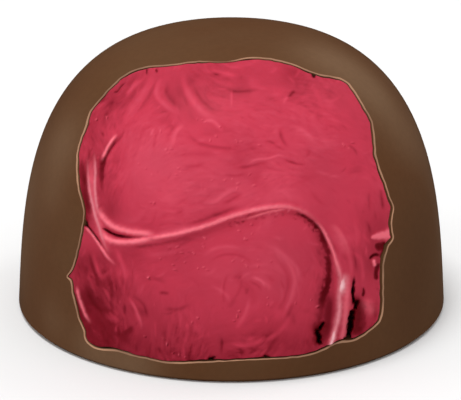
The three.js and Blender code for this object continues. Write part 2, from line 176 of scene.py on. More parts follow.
# Folds of the cream, along curves in u and v. A ridge has its own width on the left and on the right of
# its curve, and a negative height makes it a groove. A lip drops away on the right of its curve.
# A groove is ragged, a crack has steep walls and painted shade in and round it, a flake is flat on top, and a
# glinting ridge has its painted highlight in rose and white.
# Starts and ends are the shares of the length over which it fades, pale is how strong its painted crest
# highlight is, and tone makes it lighter or darker than its height alone would; the negative tones here are
# painted shade in grooves, cracks and hollows.
Fold = namedtuple("Fold", "kind height left right starts ends pale path tone", defaults=[0])
FOLDS = [
    # the upper fold's lip, which sweeps across and turns down at the right
    Fold("lip", 0.3, 0.14, 1.1, 0.3, 0.1, 0, [
        (-6.5, 3.9), (-5.2, 4.1), (-3.5, 4.42), (-1.7, 4.93), (0.2, 5.62), (2.15, 6.12), (3.75, 6.17),
        (5.0, 5.67), (6.05, 4.6), (6.6, 3.45), (6.95, 2.0), (7.05, 1.1), (6.9, -0.3), (6.6, -2.3),
        (6.4, -2.9)]),
    Fold("ridge", 0.17, 0.16, 0.12, 0.1, 0.45, 0.52, [
        (-5.6, 4.1), (-4.6, 4.3), (-3.5, 4.5), (-1.7, 4.98), (0.2, 5.66), (2.15, 6.15), (3.75, 6.2),
        (5.0, 5.68), (5.7, 4.95), (6.2, 4.1)]),
    Fold("ridge", 0.1, 0.12, 0.1, 0.3, 0.2, 0.42, [
        (5.0, 5.66), (5.7, 4.95), (6.2, 4.1), (6.55, 3.3), (6.75, 2.6), (6.9, 2.1), (7.0, 1.5)]),
    Fold("ridge", 0.06, 0.08, 0.08, 0.4, 0.2, 0.35, [(0.5, 5.32), (1.5, 5.66), (2.45, 5.93), (3.6, 6.1)]),
    Fold("groove", -0.05, 0.1, 0.14, 0.2, 0.4, 0, [
        (-6.4, 3.66), (-5.2, 3.8), (-4.0, 4.0), (-2.6, 4.4)], -0.25),
    Fold("ridge", -0.03, 0.14, 0.14, 0.3, 0.4, 0, [
        (-3.4, 4.9), (-1.8, 5.4), (0.0, 6.05), (1.5, 6.45)], -0.35),
    # the two branches that meet at the left, and the crack between them
    Fold("ridge", 0.16, 0.26, 0.16, 0.2, 0.2, 0.42, [
        (-8.66, 6.35), (-8.43, 5.7), (-7.99, 5.17), (-7.37, 4.82), (-6.6, 4.62), (-5.73, 4.52),
        (-4.76, 4.46)]),
    Fold("ridge", 0.22, 0.16, 0.24, 0.15, 0.3, 0.48, [
        (-8.45, 4.75), (-8.32, 4.52), (-7.99, 4.2), (-7.49, 4.03), (-6.83, 3.99), (-6.06, 4.06),
        (-5.3, 4.2), (-4.55, 4.37)]),
    Fold("ridge", -0.32, 0.085, 0.085, 0.1, 0.6, 0, [
        (-8.4, 4.87), (-8.1, 4.74), (-7.71, 4.53), (-7.16, 4.36), (-6.5, 4.3), (-5.73, 4.33)], -0.5),
    # the roll down the left edge with its two bright lines of painted highlight, and the valley outside it
    Fold("ridge", 0.2, 0.34, 0.3, 0.3, 0.25, 0.12, [
        (-9.1, 9.9), (-9.12, 8.95), (-9.07, 8.0), (-9.0, 7.0), (-8.85, 6.2), (-8.65, 5.4), (-8.4, 4.6),
        (-8.1, 3.8), (-7.77, 2.91)]),
    Fold("chalky", 0.08, 0.1, 0.1, 0.4, 0.35, 0.5, [
        (-9.44, 9.72), (-9.33, 8.52), (-9.26, 7.76), (-9.15, 7.0), (-9.0, 6.46), (-8.83, 5.7), (-8.6, 5.06),
        (-8.27, 4.03), (-7.77, 2.91)]),
    Fold("chalky", 0.08, 0.1, 0.1, 0.35, 0.3, 0.48, [
        (-8.98, 9.93), (-8.88, 9.27), (-8.82, 8.51), (-8.84, 7.75), (-8.81, 7.0), (-8.68, 6.13),
        (-8.43, 5.27)]),
    Fold("ridge", -0.06, 0.2, 0.2, 0.4, 0.2, 0, [
        (-9.65, 9.9), (-9.7, 9.0), (-9.62, 8.0), (-9.5, 7.2), (-9.3, 6.3), (-9.15, 5.6)], -0.25),
    # the crevice where the roll meets the lower mass, and the edge below it
    Fold("crack", -0.45, 0.1, 0.1, 0.0, 0.5, 0, [
        (-9.85, 5.55), (-9.65, 5.37), (-9.47, 5.14), (-9.25, 4.87)]),
    Fold("ridge", -0.3, 0.07, 0.07, 0.1, 0.5, 0, [
        (-9.49, 5.16), (-9.29, 4.9), (-9.0, 4.55), (-8.66, 4.12), (-8.38, 3.74), (-8.11, 3.4)], -0.7),
    Fold("ridge", 0.1, 0.1, 0.1, 0.1, 0.4, 0.45, [
        (-9.57, 4.95), (-9.29, 4.72), (-8.95, 4.34), (-8.61, 3.86), (-8.27, 3.35), (-7.83, 2.8),
        (-7.28, 2.38)]),
    # the inner curl of the upper fold
    Fold("ridge", -0.2, 0.1, 0.24, 0.25, 0.5, 0, [
        (-6.75, 11.2), (-7.15, 10.75), (-7.55, 10.3), (-7.87, 9.9), (-8.12, 9.42), (-8.28, 8.83),
        (-8.35, 8.18), (-8.38, 7.42), (-8.29, 6.56)], -0.1),
    Fold("ridge", 0.14, 0.12, 0.12, 0.25, 0.3, 0.5, [
        (-7.35, 11.0), (-7.7, 10.55), (-8.0, 10.1), (-8.25, 9.6), (-8.45, 9.1)]),
    # the line just inside the crest at the right, the hollow below it darkened with painted shade, and the
    # hole at its foot
    Fold("groove", -0.1, 0.07, 0.2, 0.4, 0.5, 0, [
        (3.3, 5.93), (4.0, 5.88), (4.6, 5.68), (5.18, 5.3), (5.68, 4.8), (5.97, 4.2), (6.25, 3.5),
        (6.5, 2.75)], -0.75),
    Fold("groove", -0.04, 0.2, 0.3, 0.5, 0.3, 0, [
        (4.7, 5.4), (5.3, 4.9), (5.75, 4.2), (6.1, 3.4), (6.3, 2.6), (6.3, 1.8)], -0.5),
    Fold("groove", -0.16, 0.13, 0.24, 0.55, 0.4, 0, [
        (5.95, 3.8), (6.13, 3.15), (6.27, 2.5), (6.3, 1.86), (6.17, 1.02), (5.92, 0.3), (5.8, -0.4),
        (5.75, -0.9)], -0.6),
    Fold("ridge", -0.05, 0.3, 0.5, 0.4, 0.4, 0, [(6.25, 2.6), (6.1, 1.3), (5.8, 0.2), (5.6, -0.8)], -0.3),
    Fold("crack", -0.85, 0.1, 0.13, 0.3, 0.25, 0, [
        (5.38, -1.55), (5.55, -1.83), (5.66, -2.16), (5.7, -2.45), (5.75, -2.75)]),
    Fold("crack", -0.6, 0.08, 0.08, 0.4, 0.2, 0, [(6.03, -1.15), (5.82, -1.44), (5.65, -1.76)]),
    Fold("groove", -0.05, 0.25, 0.32, 0.4, 0.2, 0, [
        (5.75, 0.0), (5.65, -1.0), (5.6, -1.8), (5.7, -2.8)], -0.3),
    # the bright crest at the right with its painted highlight in rose and white, and the pale band beside it
    Fold("chalky", 0.26, 0.17, 0.2, 0.4, 0.02, 0.5, [
        (6.62, 3.46), (6.76, 2.71), (6.91, 2.12), (7.05, 1.41), (7.0, 0.98), (6.95, 0.33), (6.93, -0.54),
        (6.82, -1.19), (6.72, -1.73), (6.51, -2.36), (6.4, -2.8)]),
    Fold("chalky", 0.03, 0.36, 0.16, 0.5, 0.5, 1.0, [(7.35, 2.1), (7.16, 1.4), (7.02, 0.8), (6.97, 0.2)]),
    Fold("chalky", 0.02, 0.2, 0.2, 0.3, 0.3, 0.55, [(7.0, 0.6), (6.95, -0.4), (6.85, -1.2), (6.7, -1.9)]),
    Fold("chalky", 0.03, 0.2, 0.18, 0.5, 0.05, 0.9, [(6.78, -1.3), (6.65, -1.9), (6.52, -2.4), (6.4, -2.9)]),
    Fold("ridge", 0.05, 0.28, 0.25, 0.35, 0.02, 0.22, [
        (7.45, 2.3), (7.5, 1.6), (7.46, 0.97), (7.4, 0.1), (7.36, -0.77), (7.28, -1.65), (7.15, -2.4)]),
    # the torn cracks at the right
    Fold("crack", -0.6, 0.07, 0.07, 0.5, 0.0, 0, [(7.92, 1.85), (7.88, 1.12), (7.86, 0.55), (7.95, 0.05)]),
    Fold("crack", -1.0, 0.14, 0.16, 0.15, 0.0, 0, [
        (7.86, -0.35), (7.82, -0.75), (7.76, -1.3), (7.66, -1.9), (7.55, -2.5)]),
    Fold("crack", -0.6, 0.1, 0.1, 0.3, 0.3, 0, [(8.2, 0.25), (8.1, -0.1), (7.98, -0.5)]),
    Fold("groove", -0.15, 0.07, 0.07, 0.3, 0.3, 0, [(8.52, 1.05), (8.6, 0.7), (8.5, 0.35)], -0.8),
    Fold("ridge", -0.05, 0.45, 0.3, 0.4, 0.2, 0, [(8.1, 0.9), (8.2, -0.3), (8.15, -1.4), (8.0, -2.3)], -0.7),
    Fold("ridge", 0.05, 0.4, 0.4, 0.4, 0.4, 0.12, [(8.57, 0.39), (8.92, -0.28), (9.34, -1.01)]),
    # the flake, the curl, and the small hollows at the right edge, darkened with painted shade
    Fold("flake", 0.1, 0.42, 0.42, 0.1, 0.0, 0.32, [(9.0, 4.22), (9.65, 4.33), (10.35, 4.42)]),
    Fold("ridge", -0.14, 0.14, 0.2, 0.3, 0.1, 0, [(9.3, 3.55), (9.68, 3.7), (10.1, 3.78)], -1.3),
    Fold("ridge", -0.12, 0.12, 0.2, 0.3, 0.1, 0, [(10.15, 3.85), (10.05, 3.3), (9.85, 2.8)], -1.0),
    Fold("ridge", -0.2, 0.07, 0.07, 0.3, 0.3, 0, [
        (8.95, 2.78), (9.1, 3.0), (9.36, 3.12), (9.66, 3.05)], -1.0),
    Fold("ridge", -0.12, 0.1, 0.12, 0.2, 0.2, 0, [(9.62, 2.6), (9.5, 2.2), (9.42, 1.9), (9.5, 1.4)], -0.9),
    Fold("ridge", 0.16, 0.12, 0.12, 0.3, 0.3, 0.5, [(9.2, 2.86), (9.28, 2.58), (9.34, 2.3)]),
    Fold("ridge", -0.04, 0.1, 0.1, 0.4, 0.4, 0, [(8.95, 7.3), (8.9, 6.5), (9.0, 5.8)], -0.15),
    Fold("ridge", -0.04, 0.12, 0.12, 0.4, 0.3, 0, [(9.75, 7.6), (9.8, 6.7), (9.95, 5.9)], -0.35),
    # smaller creases and streaks
    Fold("ridge", 0.05, 0.14, 0.4, 0.3, 0.4, 0.1, [(6.3, 5.3), (6.95, 4.6), (7.4, 3.8), (7.7, 2.9)]),
    Fold("ridge", 0.1, 0.14, 0.12, 0.2, 0.3, 0.35, [
        (-10.2, 1.1), (-9.95, 0.1), (-9.55, -0.9), (-9.15, -1.5)]),
    Fold("ridge", 0.04, 0.1, 0.1, 0.3, 0.3, 0, [(-9.0, 3.3), (-8.75, 2.5), (-8.5, 1.9)]),
    Fold("ridge", 0.05, 0.12, 0.12, 0.3, 0.3, 0, [(-9.38, 1.9), (-9.0, 0.95), (-8.7, 0.15)]),
    Fold("ridge", 0.05, 0.1, 0.1, 0.3, 0.3, 0.06, [
        (-6.5, 0.2), (-6.1, -0.45), (-5.85, -1.1), (-5.8, -1.75)]),
    Fold("ridge", -0.16, 0.06, 0.06, 0.1, 0.3, 0, [
        (-7.74, 13.8), (-7.53, 13.78), (-7.27, 14.12), (-6.88, 14.45)]),
    Fold("groove", -0.12, 0.05, 0.05, 0.0, 0.6, 0, [(-5.56, 15.25), (-5.54, 14.8)], -0.5),
    Fold("groove", -0.12, 0.05, 0.05, 0.0, 0.6, 0, [(-4.96, 15.25), (-4.85, 14.95)], -0.5),
    Fold("crack", -0.35, 0.08, 0.08, 0.0, 0.5, 0, [(5.36, 15.1), (5.41, 14.6)]),
    Fold("crack", -0.35, 0.06, 0.06, 0.0, 0.5, 0, [(-1.45, -3.55), (-0.99, -3.38)]),
    Fold("crack", -0.35, 0.06, 0.06, 0.0, 0.5, 0, [(2.4, -3.5), (2.03, -3.28)]),
]
FOLD_SAMPLES = 48

# Soft wisps, most left by the knife and a few of them painted light and shade: how light or dark, the
# half-width on each side of the path, and the path.
Wisp = namedtuple("Wisp", "tone left right path")
WISPS = [
    # the shadow beside the bright crest, the light along the lip, and the strokes beyond the crest
    Wisp(-0.6, 0.3, 0.4, [(6.45, 1.2), (6.35, 0.2), (6.25, -0.8), (6.15, -1.8), (6.0, -2.8)]),
    Wisp(0.5, 0.3, 0.3, [(-5.8, 4.2), (-4.6, 4.4), (-3.2, 4.75), (-1.8, 5.15)]),
    Wisp(0.35, 0.1, 0.12, [(7.4, 3.6), (7.7, 2.6), (7.75, 1.6)]),
    Wisp(-0.3, 0.1, 0.12, [(7.7, 3.9), (8.0, 2.8), (8.1, 1.8)]),
    Wisp(0.3, 0.12, 0.15, [(8.3, 3.4), (8.5, 2.2), (8.6, 1.2)]),
    # fanning down from the top left
    Wisp(0.38, 0.12, 0.12, [(-5.7, 14.7), (-6.4, 14.1), (-6.9, 13.3)]),
    Wisp(-0.15, 0.12, 0.2, [(-5.9, 15.0), (-6.7, 14.2), (-7.3, 13.2)]),
    Wisp(0.38, 0.25, 0.2, [(-5.0, 15.0), (-5.5, 14.1), (-6.4, 12.7), (-7.2, 11.5)]),
    Wisp(-0.15, 0.15, 0.15, [(-4.9, 14.4), (-5.5, 13.2), (-6.1, 12.3)]),
    Wisp(0.5, 0.2, 0.12, [(-4.4, 14.9), (-4.9, 13.9), (-4.8, 13.3), (-4.2, 12.7), (-3.2, 12.0)]),
    Wisp(-0.3, 0.25, 0.12, [(-4.1, 14.6), (-4.2, 13.6), (-3.8, 13.0), (-3.1, 12.4)]),
    Wisp(0.56, 0.22, 0.2, [(-3.2, 15.1), (-3.0, 14.0), (-2.4, 12.9), (-1.6, 12.1), (-0.7, 11.9)]),
    Wisp(-0.26, 0.12, 0.1, [(-2.6, 14.3), (-2.0, 13.2), (-1.4, 12.6), (-0.6, 12.3)]),
    Wisp(0.31, 0.12, 0.12, [(-1.6, 15.2), (-0.4, 14.9), (0.6, 14.7)]),
    Wisp(-0.26, 0.15, 0.15, [(-1.8, 14.9), (-0.8, 14.6), (0.5, 14.3)]),
    # torn little marks across the middle
    Wisp(0.62, 0.1, 0.15, [(-2.0, 11.7), (-1.2, 11.7), (-0.5, 11.0)]),
    Wisp(0.56, 0.1, 0.2, [(-2.9, 11.6), (-3.5, 11.0), (-3.8, 9.9)]),
    Wisp(-0.26, 0.12, 0.15, [(-3.3, 11.7), (-3.9, 11.0), (-4.2, 10.2)]),
    Wisp(-0.42, 0.1, 0.1, [(-4.6, 11.2), (-4.9, 10.5), (-5.0, 9.8)]),
    Wisp(0.56, 0.08, 0.08, [(-5.0, 11.3), (-5.2, 10.7)]),
    Wisp(-0.38, 0.1, 0.2, [(-2.9, 11.4), (-2.7, 10.8), (-2.0, 10.3), (-0.6, 10.0), (0.9, 10.0)]),
    Wisp(-0.38, 0.15, 0.12, [(-0.5, 14.1), (0.0, 13.7), (1.1, 13.7), (2.1, 13.9)]),
    Wisp(0.44, 0.06, 0.06, [(0.0, 13.9), (0.0, 12.5)]),
    Wisp(-0.42, 0.15, 0.1, [(4.2, 13.9), (3.9, 13.6), (3.6, 13.1)]),
    Wisp(0.38, 0.08, 0.08, [(3.6, 13.4), (3.3, 12.8)]),
    Wisp(-0.47, 0.15, 0.1, [(3.2, 11.4), (3.1, 11.0), (3.3, 10.4), (3.7, 9.9)]),
    Wisp(0.44, 0.12, 0.35, [(3.6, 11.5), (4.5, 11.2), (5.1, 10.7), (5.7, 10.4)]),
    Wisp(-0.42, 0.1, 0.1, [(2.0, 10.3), (2.4, 10.4), (2.9, 10.1), (3.5, 9.8)]),
    Wisp(0.69, 0.07, 0.07, [(0.8, 8.8), (1.5, 9.2), (2.3, 9.3), (3.1, 9.5), (3.8, 9.2)]),
    Wisp(-0.42, 0.1, 0.14, [(-0.2, 8.7), (1.1, 8.8), (2.1, 9.05), (2.6, 9.0)]),
    Wisp(-0.64, 0.07, 0.1, [(3.2, 9.3), (4.1, 9.0), (4.9, 8.9)]),
    Wisp(0.38, 0.1, 0.1, [(5.1, 8.6), (6.1, 8.3), (7.2, 8.1)]),
    Wisp(-0.38, 0.12, 0.12, [(-3.3, 8.8), (-2.5, 8.8), (-1.5, 9.0)]),
    Wisp(-0.34, 0.1, 0.1, [(-0.6, 8.3), (0.3, 8.2), (1.1, 8.4)]),
    Wisp(-0.26, 0.2, 0.15, [(-3.9, 9.4), (-2.3, 9.6), (-0.6, 9.5)]),
    Wisp(-0.38, 0.08, 0.08, [(7.4, 10.3), (7.9, 10.0), (8.2, 9.5)]),
    Wisp(0.56, 0.2, 0.08, [(-2.1, 6.5), (-1.1, 6.5), (-0.5, 6.9), (0.0, 7.2), (0.9, 7.3)]),
    Wisp(-0.38, 0.1, 0.15, [(-0.8, 6.45), (0.0, 6.7), (0.8, 7.1)]),
    # the lower mass, turned in a spiral at its right
    Wisp(0.5, 0.15, 0.12, [(2.5, 3.7), (3.5, 2.8), (4.0, 1.7), (3.8, 0.4), (3.1, -1.1)]),
    Wisp(-0.26, 0.15, 0.12, [(2.3, 3.4), (3.2, 2.5), (3.6, 1.5), (3.4, 0.4), (2.8, -0.7)]),
    Wisp(0.38, 0.15, 0.12, [(1.7, 3.9), (2.9, 3.5), (4.1, 2.4), (4.6, 1.0)]),
    Wisp(0.38, 0.12, 0.12, [(-2.0, 3.0), (-1.0, 3.6), (0.0, 3.7), (0.9, 3.5)]),
    Wisp(-0.3, 0.1, 0.1, [(-1.6, 2.6), (-0.8, 3.1), (0.2, 3.2), (1.0, 2.9), (1.4, 2.2)]),
    Wisp(0.81, 0.1, 0.07, [(1.2, 1.8), (1.9, 1.5), (2.2, 1.0)]),
    Wisp(-0.34, 0.1, 0.1, [(1.0, 1.6), (1.7, 1.2), (2.0, 0.8)]),
    Wisp(0.38, 0.12, 0.12, [(-1.4, 1.3), (-0.4, 0.7), (0.0, 0.0)]),
    Wisp(-0.18, 0.12, 0.12, [(0.4, 2.4), (0.6, 1.2), (-0.2, -0.2)]),
    Wisp(0.44, 0.15, 0.12, [(1.2, 0.7), (0.9, -0.5), (0.2, -1.7)]),
    Wisp(0.31, 0.15, 0.15, [(-0.8, -2.4), (1.1, -2.6), (2.9, -1.9), (3.9, -0.7)]),
    Wisp(-0.47, 0.1, 0.12, [(-4.7, 0.75), (-3.9, 0.7)]),
    Wisp(-0.34, 0.12, 0.15, [(-4.5, -0.3), (-3.4, -0.3), (-2.5, 0.1)]),
    Wisp(0.31, 0.15, 0.15, [(-5.9, 3.1), (-4.0, 3.3), (-2.4, 3.9)]),
    Wisp(0.38, 0.15, 0.15, [(-7.6, 3.8), (-7.1, 2.8), (-6.7, 1.3)]),
    Wisp(0.56, 0.08, 0.12, [(-6.8, 0.6), (-6.3, -0.1), (-5.8, -1.5)]),
    Wisp(-0.3, 0.12, 0.1, [(-6.5, 0.6), (-5.7, 0.0), (-5.3, -1.1)]),
    Wisp(-0.3, 0.2, 0.15, [(-9.6, 1.5), (-9.1, 0.1), (-8.5, -0.5), (-7.4, -0.4)]),
    Wisp(-0.2, 0.15, 0.1, [(-9.4, 3.6), (-9.0, 2.3), (-8.5, 0.6)]),
    Wisp(0.22, 0.12, 0.1, [(-9.1, 3.3), (-8.7, 2.3), (-8.3, 1.2)]),
]

# The seed of the wisps that are drawn at random.
WISP_SEED = 7

# Seeded arcs round the spiral of the lower mass: how many, the spiral's centre, and the ranges of the
# radius, of the angle at the start, of the turn, of the half-width and of the tone.
ARC_COUNT = 30
ARC_CENTRE = (1.7, 0.6)
ARC_RADIUS = (0.7, 3.3)
ARC_START = (-1.4, 2.6)
ARC_TURN = (0.4, 1.1)
ARC_WIDTH = (0.05, 0.14)
ARC_TONE = (-0.28, 0.32)

# Seeded upright streaks along the foot of the lower mass: how many, and the ranges of u, of the top's v,
# of the lean, of the length, of the half-width and of the tone.
UPRIGHT_COUNT = 16
UPRIGHT_U = (-7.8, -1.8)
UPRIGHT_TOP = (-2.6, -0.8)
UPRIGHT_LEAN = (-0.2, 0.2)
UPRIGHT_LENGTH = (0.6, 1.6)
UPRIGHT_WIDTH = (0.04, 0.1)
UPRIGHT_TONE = (-0.16, 0.22)

# How wisps fade at their ends, and how high a wisp of tone 1 stands.
WISP_FADE = 0.35
WISP_HEIGHT = 0.03

# How folds are shaped and toned: the lip's rounding and the painted shade below it, how much lighter a ridge
# is painted for its height (a groove darker), as painted light and shade, and the heights between which that
# holds, how steep a crack is, how much of a ridge its painted crest highlight takes, the painted shade round a
# crack and its width, how blunt a flake's tip is, and how many widths away a fold counts.
LIP_ROUNDING = 0.16
LIP_SHADE = 0.2
RIDGE_SHADING = 2.2
RIDGE_SHADING_HEIGHTS = (-0.2, 0.12)
STEEP_POWER = 4
HIGHLIGHT_SHARE = 0.75
CRACK_SHADOW = 0.45
CRACK_SHADOW_WIDTH = 2.2
FLAKE_TIP = 0.02
REACH = 4.5

# How ragged the edges of the folds are, as a share of their width.
RAGGED = {"ridge": 0.1, "chalky": 0.1, "groove": 0.22, "crack": 0.3, "flake": 0.1}
RAGGED_GRAIN = 0.14
RAGGED_SEED = 31

# How far the cream may stand out past the dome's outside, and the depths between which it is painted dark as
# shade.
HIGHEST = 0.1
RECESS_SHADE_DEPTHS = (0.3, 0.8)

# Wide swells of the cream: centre in u and v, height and radius.
Swell = namedtuple("Swell", "centre height radius")
SWELLS = [
    Swell((1.2, 1.0), 0.12, 4.2),
    Swell((-1.5, 10.5), 0.08, 5.5),
    Swell((-8.9, 0.1), -0.2, 1.0),
    Swell((-8.2, -0.6), -0.12, 1.3),
]

# Broad paler and darker patches of the cream, partly painted light and shade, darker towards the bottom and at
# the lower left, and partly uneven tone: centre in u and v, tone from -1 to 1 and radius.
Shade = namedtuple("Shade", "centre tone radius")
SHADES = [
    Shade((-9.6, 0.0), -0.5, 1.3),
    Shade((-9.2, -2.2), -0.6, 2.2),
    Shade((-9.7, 2.4), -0.5, 1.3),
    Shade((-7.2, 0.8), -0.1, 2.0),
    Shade((-7.2, -1.8), -0.2, 2.2),
    Shade((-5.0, -3.6), -0.35, 2.4),
    Shade((-2.0, -3.9), -0.35, 2.2),
    Shade((1.5, -3.8), -0.3, 2.6),
    Shade((5.2, -2.8), -0.4, 2.0),
    Shade((9.3, 2.6), -0.35, 1.5),
    Shade((9.6, 5.0), -0.3, 1.4),
    Shade((9.0, -1.6), -0.4, 1.7),
    Shade((0.0, 15.6), -0.2, 3.2),
    Shade((6.0, 14.8), -0.2, 2.6),
    Shade((-7.5, 14.0), -0.2, 1.8),
    Shade((-6.4, 14.0), -0.1, 1.8),
    Shade((-3.0, 13.0), -0.15, 2.2),
    Shade((-9.8, 11.0), -0.35, 1.7),
    Shade((-9.8, 8.0), -0.5, 1.4),
    Shade((-9.7, 6.0), -0.3, 1.2),
    Shade((-7.7, 7.2), -0.25, 0.9),
    Shade((-4.8, 9.0), 0.5, 2.6),
    Shade((-1.5, 7.6), 0.25, 2.2),
    Shade((2.8, 8.4), 0.3, 3.5),
    Shade((-7.9, 12.3), -0.15, 1.0),
    Shade((-7.9, 5.9), -0.35, 0.8),
    Shade((4.0, 15.0), -0.3, 1.0),
    Shade((-7.8, 1.1), -0.36, 0.9),
    Shade((2.5, -2.2), -0.25, 1.2),
    Shade((2.6, 2.4), 0.3, 1.8),
    Shade((-0.4, 2.2), 0.2, 1.8),
    Shade((-8.0, 3.0), -0.22, 1.0),
    Shade((-6.4, 3.1), -0.25, 1.0),
    Shade((-7.9, 9.2), -0.35, 1.2),
    Shade((-9.7, 5.9), -0.3, 1.0),
]

# Fine smears that follow the flow: their share of all the smears, and the ranges of length and
# half-width, with their height and tone.
Smears = namedtuple("Smears", "share length width height tone")
SMEARS = [
    Smears(0.3, (1.2, 3.5), (0.2, 0.5), 0.01, 0.2),
    Smears(0.4, (0.6, 1.8), (0.1, 0.22), 0.014, 0.26),
    Smears(0.3, (0.3, 1.0), (0.05, 0.11), 0.014, 0.26),
]

# Where the smears start, how finely their paths are followed, how they fade at their ends, how many
# half-widths away they count, and how much narrower their right side is.
SMEAR_SEED = 11
SMEAR_U = (-10, 10)
SMEAR_V = (-3.7, 15.8)
SMEAR_SAMPLES = 10
SMEAR_FADE = 0.45
SMEAR_REACH = 2.3
SHARP_SIDE = 0.5

# How a stroke bends off the flow: its number of steps, its first turn and the turn it gains at each step.
STROKE_STEPS = 4
FIRST_TURN = (-0.6, 0.6)
TURN_GAINED = (-0.4, 0.4)

# Clusters of small raised specks with a painted highlight, each with a painted shadow beside it as a short
# dark
# tail: the centres, how many specks a cluster has and how far they spread, and a speck's length, half-width,
# height, tone and paleness.
SPECKS = [
    (-1.4, 10.8), (0.3, 10.7), (-3.9, 9.7), (-3.3, 8.7), (-5.5, 8.8), (-2.0, 11.8), (-5.0, 6.5),
    (-1.2, 7.7), (0.0, 8.1), (1.7, 7.7), (-5.1, 10.9), (-8.7, 11.9), (7.3, 10.4), (-5.3, 2.1),
    (-3.7, 2.2), (-1.8, 2.5), (-0.2, 2.8), (1.9, 2.9), (-2.4, -1.1), (0.0, -0.8), (2.3, 0.3),
    (0.9, 4.3), (4.6, -0.1), (-3.5, -3.0), (-4.7, -2.4), (-4.5, 3.4), (-3.4, 3.5), (-2.0, 4.1), (0.9, 5.0),
]
SPECKS_EACH = 3
SPECK_SPREAD = 0.45
SPECK_LENGTH = (0.12, 0.4)
SPECK_WIDTH = (0.035, 0.06)
SPECK_HEIGHT = 0.02
SPECK_TONE = 0.3
SPECK_HIGHLIGHT = (0, 0.2)
# The painted shadow beside each speck: its offset in speck widths, and its tone.
SHADOW_TAIL_OFFSET = (1.8, -1.4)
SHADOW_TAIL_TONE = -0.45

# Crumbly strokes just under the lip: how many, how far from its curve, the shares of its length that
# they lie along, and their length, half-width, strength, height, tone and paleness.
CRUMB_COUNT = 100
CRUMB_OFFSET = (0.12, 0.6)
CRUMB_SHARES = (0.3, 0.62)
CRUMB_LENGTH = (0.2, 0.6)
CRUMB_WIDTH = (0.05, 0.1)
CRUMB_STRENGTH = (-1, 0.5)
CRUMB_HEIGHT = 0.03
CRUMB_TONE = 0.5
CRUMB_PALE = 0.1

# Fine streaks of the knife, drawn out along the flow: grain across, length along, height, tone and seed.
Streaks = namedtuple("Streaks", "grain length height tone seed")
STREAKS = [
    Streaks(0.5, 2.2, 0.005, 0.03, 1),
    Streaks(0.22, 1.0, 0.004, 0.035, 2),
    Streaks(0.11, 0.4, 0.004, 0.04, 3),
]
STREAK_STEPS = 10
STREAK_SOFTNESS = (0.2, 1.4)

# The flow that they follow: the grid's step, how the curves share it and how it wanders.
FLOW_STEP = 0.25
FLOW_SAMPLES = 40
FLOW_SOFTNESS = 0.3
FLOW_POWER = 3
WANDER = 0.9
WANDER_GRAIN = 1.4
WANDER_SEED = 5

# Calmer and livelier stretches: how strong the streaks are there, their grain and the noise between them.
CALM = (0.35, 1.5)
CALM_GRAIN = 2.2
CALM_NOISE = (-0.6, 0.9)
CALM_SEED = 9

# The corners of the grids over the opening.
OPENING_LOW = np.min(RIM_OUTLINE, axis=0) - 1
OPENING_HIGH = np.max(RIM_OUTLINE, axis=0) + 1

# Placed patches on the chocolate, painted sheen and reflections where paler and painted shade where darker:
# azimuth in degrees, height, how much paler or darker, and how far it spreads.
BloomAndPaintedLight = namedtuple("BloomAndPaintedLight", "azimuth height tone spread")
PLACED_SHEEN_AND_SHADE = [
    BloomAndPaintedLight(-10, 12.0, 0.5, 3.0),
    BloomAndPaintedLight(-7, 6.5, 0.5, 3.5),
    BloomAndPaintedLight(-172, 9.0, 0.5, 3.2),
    BloomAndPaintedLight(-172, 3.8, 0.5, 3.2),
    BloomAndPaintedLight(-26, 18.2, 0.9, 2.6),
    BloomAndPaintedLight(-24, 16.2, 0.9, 2.4),
    BloomAndPaintedLight(-23, 13.4, 0.4, 2.2),
    BloomAndPaintedLight(-153, 13.0, 0.7, 2.3),
    BloomAndPaintedLight(-150, 10.0, 0.3, 1.6),
    BloomAndPaintedLight(-127, 0.9, 0.8, 1.9),
    BloomAndPaintedLight(-115, 0.6, 0.9, 1.9),
    BloomAndPaintedLight(-143, 1.8, 0.35, 1.6),
    BloomAndPaintedLight(-30, 6.5, -0.6, 4.0),
    BloomAndPaintedLight(-38, 2.0, -0.6, 4.0),
    BloomAndPaintedLight(-66, 0.6, -0.5, 3.0),
]

# Seeded bloom over the back: how many patches, and the ranges of azimuth, height, tone and spread.
BEHIND_SEED = 21
BEHIND_COUNT = 22
BEHIND_AZIMUTH = (0, 180)
BEHIND_HEIGHT = (0.5, 18.5)
BEHIND_TONE = (-0.6, 0.8)
BEHIND_SPREAD = (1.8, 3.6)

# The curves that the flow follows, in u and v.
FLOWS = [
    [(-8.0, 4.1), (-3.5, 4.5), (0.2, 5.8), (3.8, 6.2), (6.1, 4.6), (7.0, 2.0), (6.6, -2.3)],
    [(-8.9, 10.5), (-9.1, 8.0), (-8.5, 4.7)],
    [(-8.0, 6.2), (-8.3, 8.6), (-7.2, 10.8), (-5.0, 14.0)],
    [(-3.0, 15.0), (-2.0, 12.8), (0.5, 11.5)],
    [(-4.0, 9.0), (0.0, 9.8), (5.0, 9.0), (9.0, 7.5)],
    [(1.0, 14.5), (5.0, 13.5), (8.0, 11.0)],
    [(-6.0, 2.0), (-2.0, 3.5), (2.5, 3.8), (4.6, 1.5), (4.0, -1.5)],
    [(-1.0, -2.0), (1.0, -1.4), (2.2, 0.0), (1.0, 1.8), (-1.5, 1.4)],
    [(-8.6, 3.0), (-7.4, 0.4), (-6.6, -3.0)],
    [(-6.4, 2.0), (-5.7, -0.6), (-5.4, -3.4)],
    [(-4.0, -1.0), (-3.8, -3.6)],
    [(-2.4, -1.4), (-2.3, -3.6)],
    [(8.8, 5.0), (9.0, 1.5), (8.6, -1.6)],
]


